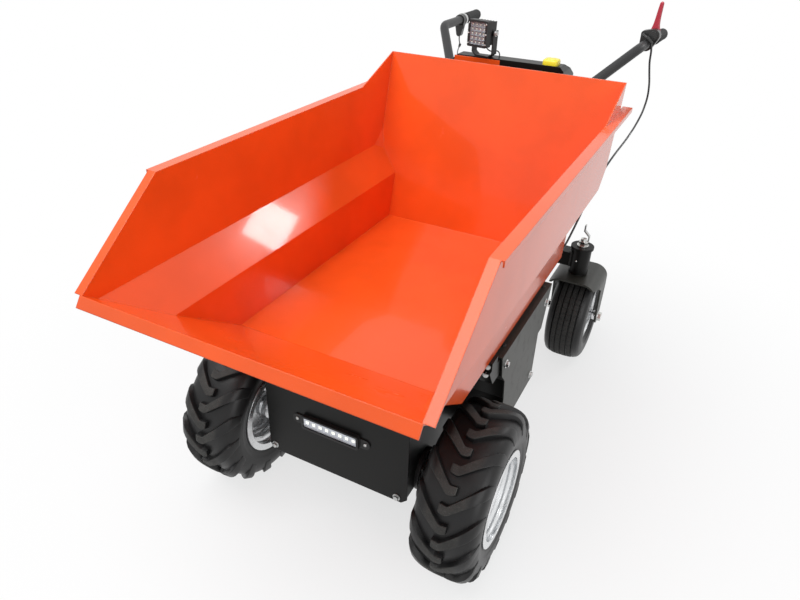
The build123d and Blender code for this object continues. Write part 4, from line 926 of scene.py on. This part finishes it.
def lamp_face(name, out, columns, rows, chip, depth, shade, painted_glow):
    """Cells, light elements and a clear cover in the place of a lamp's CAD lens. The cells' shade
    is a painted reflection and the elements' glow a painted highlight.
    """
    low, high = corners(f"{name}_lens")
    axes = np.array([np.cross(UPWARD, out), UPWARD, out])
    # the lens is a plate turned about the upright, so its box gives both of its sides
    span = high - low
    thick = WORK_LENS if abs(out[0]) > 0.01 else span[1]
    size = np.array([(span[0] - thick * abs(out[0])) / abs(axes[0, 0]), span[2]])
    front = (low + high) / 2 + out * thick / 2
    cells = Pieces()
    chips = Pieces()
    cover = Pieces()
    step = size / (columns, rows)
    for column in range(columns):
        for row in range(rows):
            aside = (column + 0.5 - columns / 2) * step[0]
            lift = (row + 0.5 - rows / 2) * step[1]
            spot = front + (aside, lift, -CELL_SINK) @ axes
            cells.sweep(reflector_cell(spot, axes, step - CELL_GAP, depth, chip))
            spot = spot - out * 0.75 * depth
            chips.sweep(slab(spot, axes, (chip * 0.8, chip * 0.8), 0.0, COVER, COVER_BEVEL))
    cover.sweep(slab(front, axes, size, -COVER, 0.0, COVER_BEVEL))
    # painted reflection: the cups' grey, given per lamp, stands for what they reflect
    painted_reflection_chrome = reflector_chrome(f"{name} reflector", shade)
    piece = cells.make(f"{name}_reflectors", "chassis", painted_reflection_chrome, 20.0)
    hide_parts(f"{name}_lens")
    # painted highlight: the elements glow at a strength given per lamp
    light = led_glow(f"{name} element", painted_glow)
    chips.make(f"{name}_elements", "chassis", light, 30.0)
    cover.make(f"{name}_cover", "chassis", lamp_glass(), 30.0)
    return front, axes[0]


class DUMPER_OT_lamps(bpy.types.Operator):
    """Reflector cells, light elements, covers and screws of the work lamp and the light bar"""

    bl_idname = "dumper.lamps"
    bl_label = "Lamps"

    def execute(self, context):
        fittings = context.scene.dumper_fittings
        facing = np.array([np.sin(LAMP_YAW), -np.cos(LAMP_YAW), 0.0])
        cells = fittings.lamp_cells
        # painted light: the work lamp's cells are painted dark with a faint glow, the light bar's
        # pale with a bright glow
        front, right = lamp_face(
            "work_lamp", facing, cells, cells + 1, chip=0.0042, depth=0.0036, shade=0.3, painted_glow=0.05
        )
        cells = fittings.bar_cells
        lamp_face("light_bar", FORWARD, cells, 1, chip=0.0095, depth=0.0017, shade=0.95, painted_glow=0.8)
        screws = Pieces()
        for sign in (-1, 1):
            for lift in (-1, 0, 1):
                spot = front + right * sign * SCREW_ASIDE + UPWARD * lift * SCREW_STEP
                dome_screw(screws, spot + facing * 0.002, facing, 0.0046)
            pivot = front - facing * PIVOT_BACK + right * sign * PIVOT_ASIDE
            bolt(screws, pivot, right * sign, 0.010)
        screws.make("work_lamp_screws", "chassis", zinc_plate("lamp screws"))
        return {"FINISHED"}


# ---------------------------------------------------------------- welds
HOUSING_R = 0.035
CROSS_TUBE_HALF = 0.0225
BAR_R = 0.0141
# a point on a bar's middle line, seen from the post, and the way the bar runs from it
BAR_AT = (0.172, 0.028, 0.848)
BAR_RUN = (0.4893, 0.7407, 0.4605)


def bead(pieces, path, radius, closed=False):
    """A weld bead on a path: a tube whose radius swells and sinks every two and a half radii."""
    path = np.asarray(path, float)
    if closed:
        path = np.vstack([path, path[:1]])
    walk = walked(path)
    count = max(int(walk[-1] / (radius * 0.45)), 8)
    even = np.linspace(0, walk[-1], count)
    line = np.stack([np.interp(even, walk, path[:, k]) for k in range(3)], axis=1)
    swell = radius * (1 + 0.16 * np.abs(np.sin(even / (radius * 0.8))))
    pieces.sweep(tube(line, swell, 8))


def box_edge(low, high, depth, level):
    """Three edges of a box seen from above, from its outer side inwards by a depth."""
    x = np.array([high[0] - depth, high[0], high[0], high[0] - depth])
    y = np.array([low[1], low[1], high[1], high[1]])
    return np.column_stack([x, y, np.full(4, level)])


class DUMPER_OT_welds(bpy.types.Operator):
    """Weld beads where uprights, arms, stem housings, bars and hinge brackets meet"""

    bl_idname = "dumper.welds"
    bl_label = "Welds"

    def execute(self, context):
        radius = context.scene.dumper_fittings.weld
        beads = Pieces()
        low, high = corners("uprights")
        post_y = (low[1] + high[1]) / 2
        housing = corners("rear_cross_tube")[1][0] - HOUSING_R
        arm = corners("rear_arms")[1]
        feet_low, feet_high = corners("pivot_brackets")
        for _, sign in SIDES:
            mirror = (sign, 1, 1)
            for level in (low[2], high[2]):
                bead(beads, box_edge(low, high, 0.04, level) * mirror, radius, closed=True)
            # where the square tube runs into the round housing: x = X - sqrt(R^2 - y^2)
            y = np.linspace(-CROSS_TUBE_HALF, CROSS_TUBE_HALF, 12)
            x = sign * (housing - np.sqrt(HOUSING_R**2 - y**2))
            path = np.column_stack([x, post_y + y, np.full(12, arm[2])])
            down = (0, 0, 2 * CROSS_TUBE_HALF)
            bead(beads, np.vstack([path[0] - down, path, path[-1] - down]), radius)
            seam = np.array([arm - (0.046, 0, 0), arm, arm - (0, 0, 0.04)]) * mirror
            bead(beads, seam, radius)
            foot = box_edge(feet_low, feet_high, 0.042, feet_low[2])
            bead(beads, foot * mirror, radius * 0.9, closed=True)
            # the bar's round end cut by the post's side face: where the tube's x is the face's
            run = np.array(BAR_RUN) * mirror
            run /= np.linalg.norm(run)
            first, second = across(run)
            angle = np.arange(24) * TURN / 24
            ring = BAR_R * (np.cos(angle)[:, None] * first + np.sin(angle)[:, None] * second)
            bar = np.array(BAR_AT) * mirror + (0, post_y, 0)
            reach = (sign * high[0] - bar[0] - ring[:, 0]) / run[0]
            bead(beads, bar + ring + reach[:, None] * run, radius * 0.9, closed=True)
        black = gloss_black("painted weld", (0.016, 0.016, 0.015), 0.4)
        beads.make("welds", "chassis", black, 80.0)
        return {"FINISHED"}


# ---------------------------------------------------------------- hand controls
GRIP_RUN = (0.0451, 0.9989, -0.012)
GRIP_HALF = 0.0625
# grip outlines in millimetres: (radius, height) of its collar and of the groove before its end
GRIP_COLLAR = ((14.6, 0.0), (17.2, 0.1), (18.0, 0.9), (18.0, 4.2), (17.3, 5.6))
GRIP_NECK = ((17.4, 111.5), (18.0, 113.0))
# stop cap, with a shallow dish in its top: (share drawn in, share of the height)
CAP_STEPS = (
    (0, 0), (0, 0.12), (0, 0.13), (0, 0.2), (0, 0.21), (0.01, 0.6), (0.05, 0.8), (0.13, 0.93),
    (0.24, 0.985), (0.4, 1.0), (0.46, 0.97), (0.49, 0.965), (0.51, 1.0), (0.62, 1.0),
)
# the lever's turned hub in millimetres: (radius, height)
LEVER_HUB = ((12, 0), (12.9, 1), (12.9, 8.5), (12, 9.5))
# cable boots: end, direction, radius in millimetres
BOOTS = (
    ((0.322, 0.6438, 1.006), (0.75, -0.28, -0.56), 5.2),
    ((-0.314, 0.7318, 0.903), (0.29, -0.95, -0.1), 4.2),
)
# a valve's turned outline in millimetres: (radius, height)
VALVE = (
    (5.5, 0), (5.3, 1.5), (4.2, 3), (3.9, 12), (2.7, 14),
    (2.7, 22), (3.5, 22.4), (3.5, 29), (2.6, 30),
)
# valves: tyre, body, distance off the tyre's middle plane, distance from the axle
VALVES = (
    ("front_tyre", "front_wheel", -0.0155, 0.074),
    ("caster_tyre", "caster_wheel", 0.0055, 0.055),
)
# the console's strip: its middle across the machine, its drop below the box's top and its sides
STRIP_X = -0.0975
STRIP_DROP = 0.037
STRIP_SIZE = (0.142, 0.068)


def grips(rubber):
    """Ribbed grips: a collar, ribs by a cosine along the grip, and a quarter-ellipse end."""
    place = np.arange(8.0, 110.0, 0.75)
    ribs = np.stack([16.9 + 0.5 * np.cos(place / 5.0 * TURN), place], axis=1)
    end = np.array(dome(18.0, 10.0, 1.45, 9)) + (0, 115.0)
    outline = np.vstack([GRIP_COLLAR, ribs, GRIP_NECK, end]) * MM
    for side, sign in SIDES:
        run = np.array(GRIP_RUN) * (sign, 1, 1)
        grip = Pieces()
        grip.sweep(turned(centre(f"grip_{side}") - run * GRIP_HALF, run, outline, 40))
        piece = grip.make(f"ribbed_grip_{side}", "chassis", rubber, 60.0)
        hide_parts(f"grip_{side}")


def stop_cap(paint):
    """Switch cap: superellipse rings drawn in towards the top, with a shallow dish in it."""
    low, high = corners("stop_switch")
    middle = (low + high) / 2
    steps = np.array(CAP_STEPS)
    size = (high[0] - low[0]) / 2 * (1 - steps[:, :1, None])
    flat = size * superellipse(64, 5.5)[None]
    level = np.broadcast_to(steps[:, 1:, None] * (high[2] - low[2]), (len(steps), 64, 1))
    cap = Pieces()
    cap.sweep(np.concatenate([flat, level], axis=2) + (middle[0], middle[1], low[2]))
    yellow = moulded("yellow switch cap", tuple(paint.stop_colour), (0.85, 0.66, 0.02), 0.32)
    piece = cap.make("stop_cap", "chassis", yellow, 32.0)
    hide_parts("stop_switch")


def lever_blade(paint):
    """Brake lever: superellipse sections from its broad root to its tip, narrowing fast at first.

    The half width falls off exponentially along the blade, and its last twentieth closes as the
    square root of what is left.
    """
    low, high = corners("brake_lever")
    middle = (low + high) / 2
    rise = np.linspace(0.0, 1.0, 30)
    closing = np.sqrt(np.clip((1.004 - rise) / 0.05, 0.0, 1.0)) * MM
    half = (5.6 + 11.5 * np.exp(-rise / 0.2) + 1.2 * np.sin(np.pi * rise)) * closing
    deep = (5.2 - 1.4 * rise) * closing
    shape = superellipse(28, 2.6)
    x = middle[0] - 0.002 + 0.0035 * rise[:, None] ** 2 + half[:, None] * shape[:, 0]
    y = middle[1] + deep[:, None] * shape[:, 1]
    root = low[2] + 0.022
    z = np.broadcast_to(root + rise[:, None] * (high[2] - 0.0002 - root), x.shape)
    blade = Pieces()
    blade.sweep(np.stack([x, y, z], axis=2))
    hub = (middle[0], low[1] + 0.0005, low[2] + 0.013)
    blade.sweep(turned(hub, -FORWARD, np.array(LEVER_HUB) * MM, 32))
    red = moulded("red lever coat", tuple(paint.lever_colour), (0.42, 0.015, 0.035), 0.2)
    piece = blade.make("lever_blade", "chassis", red, 50.0)
    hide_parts("brake_lever")


def cable_boots(rubber):
    """Sleeves over the cables' ends: a taper with ribs by a cosine."""
    boots = Pieces()
    along = np.linspace(0, 24, 49)
    for end, run, radius in BOOTS:
        sleeve = radius - 0.05 * along + 0.35 * np.cos(along / 4 * TURN)
        boots.sweep(turned(end, run, np.stack([sleeve, along], axis=1) * MM, 20))
    boots.make("cable_boots", "chassis", rubber, 60.0)


def valves(rubber):
    """A valve stem on each wheel, thirty degrees ahead of its top."""
    for side, sign in SIDES:
        for node, body, inset, ring in VALVES:
            middle = centre(f"{node}_{side}")
            valve = Pieces()
            at = (middle[0] + sign * inset, middle[1] - ring * 0.5, middle[2] + ring * 0.866)
            valve.sweep(turned(at, (sign, 0, 0), np.array(VALVE) * MM, 16))
            valve.make(f"valve_{body}_{side}", f"{body}_{side}", rubber, 40.0)


def console_strip(paint):
    """A plain strip in the tub's enamel on the console's front edge."""
    low, high = corners("console_box")
    face = (STRIP_X, low[1], high[2] - STRIP_DROP)
    axes = np.array([RIGHTWARD, UPWARD, FORWARD])
    strip = Pieces()
    strip.sweep(slab(face, axes, STRIP_SIZE, 0.0, 0.0007, 0.0002))
    strip.make("console_strip", "chassis", tub_enamel(paint))


class DUMPER_OT_controls(bpy.types.Operator):
    """Ribbed grips, stop switch, lever, cable boots, valve stems and the console's strip"""

    bl_idname = "dumper.controls"
    bl_label = "Controls"

    def execute(self, context):
        paint = context.scene.dumper_paint
        rubber = grip_rubber()
        grips(rubber)
        stop_cap(paint)
        lever_blade(paint)
        cable_boots(rubber)
        valves(rubber)
        console_strip(paint)
        return {"FINISHED"}


# ---------------------------------------------------------------- finishes on the CAD nodes
def repaint(nodes, material):
    """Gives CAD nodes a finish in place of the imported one."""
    for node in nodes:
        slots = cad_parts[node].data.materials
        slots.clear()
        slots.append(material)


class DUMPER_OT_finishes(bpy.types.Operator):
    """Gives every CAD node that stays its finish"""

    bl_idname = "dumper.finishes"
    bl_label = "Finishes"

    def execute(self, context):
        paint = context.scene.dumper_paint
        tube_high = corners("rear_cross_tube")[1]
        stem_y = centre("rear_cross_tube")[1]
        for side, _ in SIDES:
            fork = f"caster_fork_{side}"
            stem = (centre(fork)[0], stem_y)
            reach = corners(fork)[1][0] - stem[0] - 0.0119
            wheel = centre(f"caster_tyre_{side}")
            enamel = fork_enamel((0.026, 0.027, 0.022), stem, tube_high[2], wheel, reach)
            repaint((fork,), enamel)
        control = moulded("black control plastic", grey(0.014), grey(0.02), 0.34)
        sheath = moulded("cable sheath", (0.012, 0.012, 0.013), grey(0.02), 0.3)
        cover = gloss_black("side cover enamel", (0.03, 0.031, 0.026), 0.42)
        bars = gloss_black("bar enamel", (0.03, 0.03, 0.031), 0.42)
        lamp = gloss_black("lamp casting", grey(0.016), 0.42)
        rims = silver_rim_paint()
        coat = black_powder_coat(paint)
        for finish, *nodes in (
            (tub_enamel(paint), "tub_shell", "tub_ribs"),
            (rims, "front_rim_left", "front_rim_right", "caster_rim_left", "caster_rim_right"),
            (cover, "side_cover_left", "side_cover_right"),
            (zinc_plate("zinc fittings"), "hinge_pin", "caster_locks", "throttle_clamp"),
            (gloss_black("axle enamel", grey(0.016), 0.45), "axle_housing", "drive_motor"),
            (moulded("battery case", (0.02, 0.02, 0.021), grey(0.03), 0.5), "battery_pack"),
            (sheath, "brake_cable", "throttle_cable", "lamp_wire"),
            (control, "brake_perch", "throttle_body"),
            (lamp, "work_lamp_housing", "light_bar_housing", "work_lamp_yoke"),
            (bars, "handlebar_left", "handlebar_right"),
            (coat, "battery_bay", "console_box", "drive_bay", "front_cover", "pivot_brackets"),
            (coat, "rear_arms", "rear_cross_tube", "tub_rests", "uprights"),
        ):
            repaint(nodes, finish)
        return {"FINISHED"}


# ---------------------------------------------------------------- stage
FLOOR_REACH = 40.0
CAMERA_PLACE = (0.6187, -1.5374, 1.3432)
CAMERA_RIGHT = (0.8859, 0.4632, 0.0282)
CAMERA_BACK = (0.3810, -0.7608, 0.5255)
# soft lamps: name, place, the point it faces, side, share of the key light's power
LAMPS = (
    ("key", (-0.6, -1.2, 3.4), (0, 0, 0.5), 2.6, 1.0),
    ("fill", (2.6, -1.8, 1.5), (0, 0, 0.4), 1.8, 0.24),
    # low and small from behind: its reflection lies on the tub's sloping step
    ("window", (2.02, 2.56, 2.52), (-0.31, -0.39, 0.65), 0.36, 0.13),
)


def area_light(name, place, towards, size, power):
    """A square soft lamp that faces a point."""
    data = bpy.data.lights.new(name, "AREA")
    data.shape = "SQUARE"
    data.size = size
    data.energy = power
    lamp = bpy.data.objects.new(name, data)
    lamp.location = place
    lamp.rotation_euler = (Vector(towards) - Vector(place)).to_track_quat("-Z", "Y").to_euler()
    bpy.context.scene.collection.objects.link(lamp)


def pale_floor(scene):
    """A wide floor: white by itself where it is seen, over a matt share that takes shadows.

    The white's share rises smoothly from 0.7 near the object to one 1.7 m away.
    """
    mesh = bpy.data.meshes.new("floor")
    low, high = -FLOOR_REACH, FLOOR_REACH
    square = [(low, low, 0), (high, low, 0), (high, high, 0), (low, high, 0)]
    mesh.from_pydata(square, [], [(0, 1, 2, 3)])
    floor = bpy.data.objects.new("floor", mesh)
    scene.collection.objects.link(floor)
    f = Finish("studio floor")
    away = f.node("ShaderNodeVectorMath", {"operation": "LENGTH"}, {0: f.place()}, out=1)
    matt = f.node("ShaderNodeBsdfDiffuse", None, {"Color": grey(0.85)})
    dull = f.node("ShaderNodeBsdfDiffuse", None, {"Color": grey(0.4)})
    white = f.node("ShaderNodeEmission", None, {"Color": grey(1.0), "Strength": 1.0})
    share = f.between(away, 0.4, 1.7) * 0.3 + 0.7
    pale = f.node("ShaderNodeMixShader", None, {0: share, 1: matt, 2: white})
    f.node_output(f.node("ShaderNodeMixShader", None, {0: f.seen_ray(), 1: dull, 2: pale}))
    mesh.materials.append(f.material)


def surroundings(scene, sky):
    """A world that is white where it is seen and lights the object at the sky's brightness."""
    scene.world = scene.world or bpy.data.worlds.new("surroundings")
    f = Finish("surroundings", scene.world)
    lit = f.node("ShaderNodeBackground", None, {"Color": (0.95, 0.97, 1.0), "Strength": sky})
    plain = f.node("ShaderNodeBackground", None, {"Color": grey(1.0)})
    either = f.node("ShaderNodeMixShader", None, {0: f.seen_ray(), 1: lit, 2: plain})
    f.node_output(either, "ShaderNodeOutputWorld")


def camera_view(scene, lens):
    """The camera: its right and backward directions squared up by two cross products."""
    data = bpy.data.cameras.new("camera")
    data.lens = lens
    data.sensor_width = 36.0
    camera = bpy.data.objects.new("camera", data)
    back = Vector(CAMERA_BACK).normalized()
    up = back.cross(Vector(CAMERA_RIGHT).normalized()).normalized()
    turn = Matrix((up.cross(back), up, back)).transposed().to_4x4()
    camera.matrix_world = Matrix.Translation(CAMERA_PLACE) @ turn
    scene.collection.objects.link(camera)
    scene.camera = camera


class DUMPER_OT_stage(bpy.types.Operator):
    """Pale floor, white surroundings, soft studio lamps and the camera"""

    bl_idname = "dumper.stage"
    bl_label = "Stage"

    def execute(self, context):
        stage = context.scene.dumper_stage
        pale_floor(context.scene)
        surroundings(context.scene, stage.sky)
        for name, place, towards, size, share in LAMPS:
            area_light(name, place, towards, size, stage.key_power * share)
        context.scene.view_settings.view_transform = "Standard"
        camera_view(context.scene, stage.lens)
        return {"FINISHED"}


# ---------------------------------------------------------------- panel and registration
class DUMPER_PT_panel(bpy.types.Panel):
    """Dumper settings in the sidebar"""

    bl_idname = "DUMPER_PT_panel"
    bl_label = "Dumper"
    bl_space_type = "VIEW_3D"
    bl_region_type = "UI"
    bl_category = "Dumper"

    def draw(self, context):
        for group in GROUPS:
            settings = getattr(context.scene, group)
            box = self.layout.box()
            for key in settings.__annotations__:
                box.prop(settings, key)
        for operator in OPERATORS:
            self.layout.operator(operator.bl_idname)


OPERATORS = (
    DUMPER_OT_stage,
    DUMPER_OT_finishes,
    DUMPER_OT_lugged_tyres,
    DUMPER_OT_ribbed_tyres,
    DUMPER_OT_fasteners,
    DUMPER_OT_lamps,
    DUMPER_OT_welds,
    DUMPER_OT_controls,
)
GROUPS = {
    "dumper_paint": DumperPaint,
    "dumper_tyres": DumperTyres,
    "dumper_fittings": DumperFittings,
    "dumper_stage": DumperStage,
}
CLASSES = (*GROUPS.values(), *OPERATORS, DUMPER_PT_panel)


def register():
    """Registers the settings, the operators and the panel."""
    for one in CLASSES:
        bpy.utils.register_class(one)
    for key, group in GROUPS.items():
        setattr(bpy.types.Scene, key, bpy.props.PointerProperty(type=group))


def unregister():
    """Takes them away again, last first."""
    for key in GROUPS:
        delattr(bpy.types.Scene, key)
    for one in reversed(CLASSES):
        bpy.utils.unregister_class(one)


def main():
    """Registers the classes and runs every operator in order."""
    register()
    for operator in OPERATORS:
        group, name = operator.bl_idname.split(".")
        if getattr(getattr(bpy.ops, group), name)() != {"FINISHED"}:
            raise RuntimeError(operator.bl_label + " did not finish")


if __name__ == "__main__":
    main()
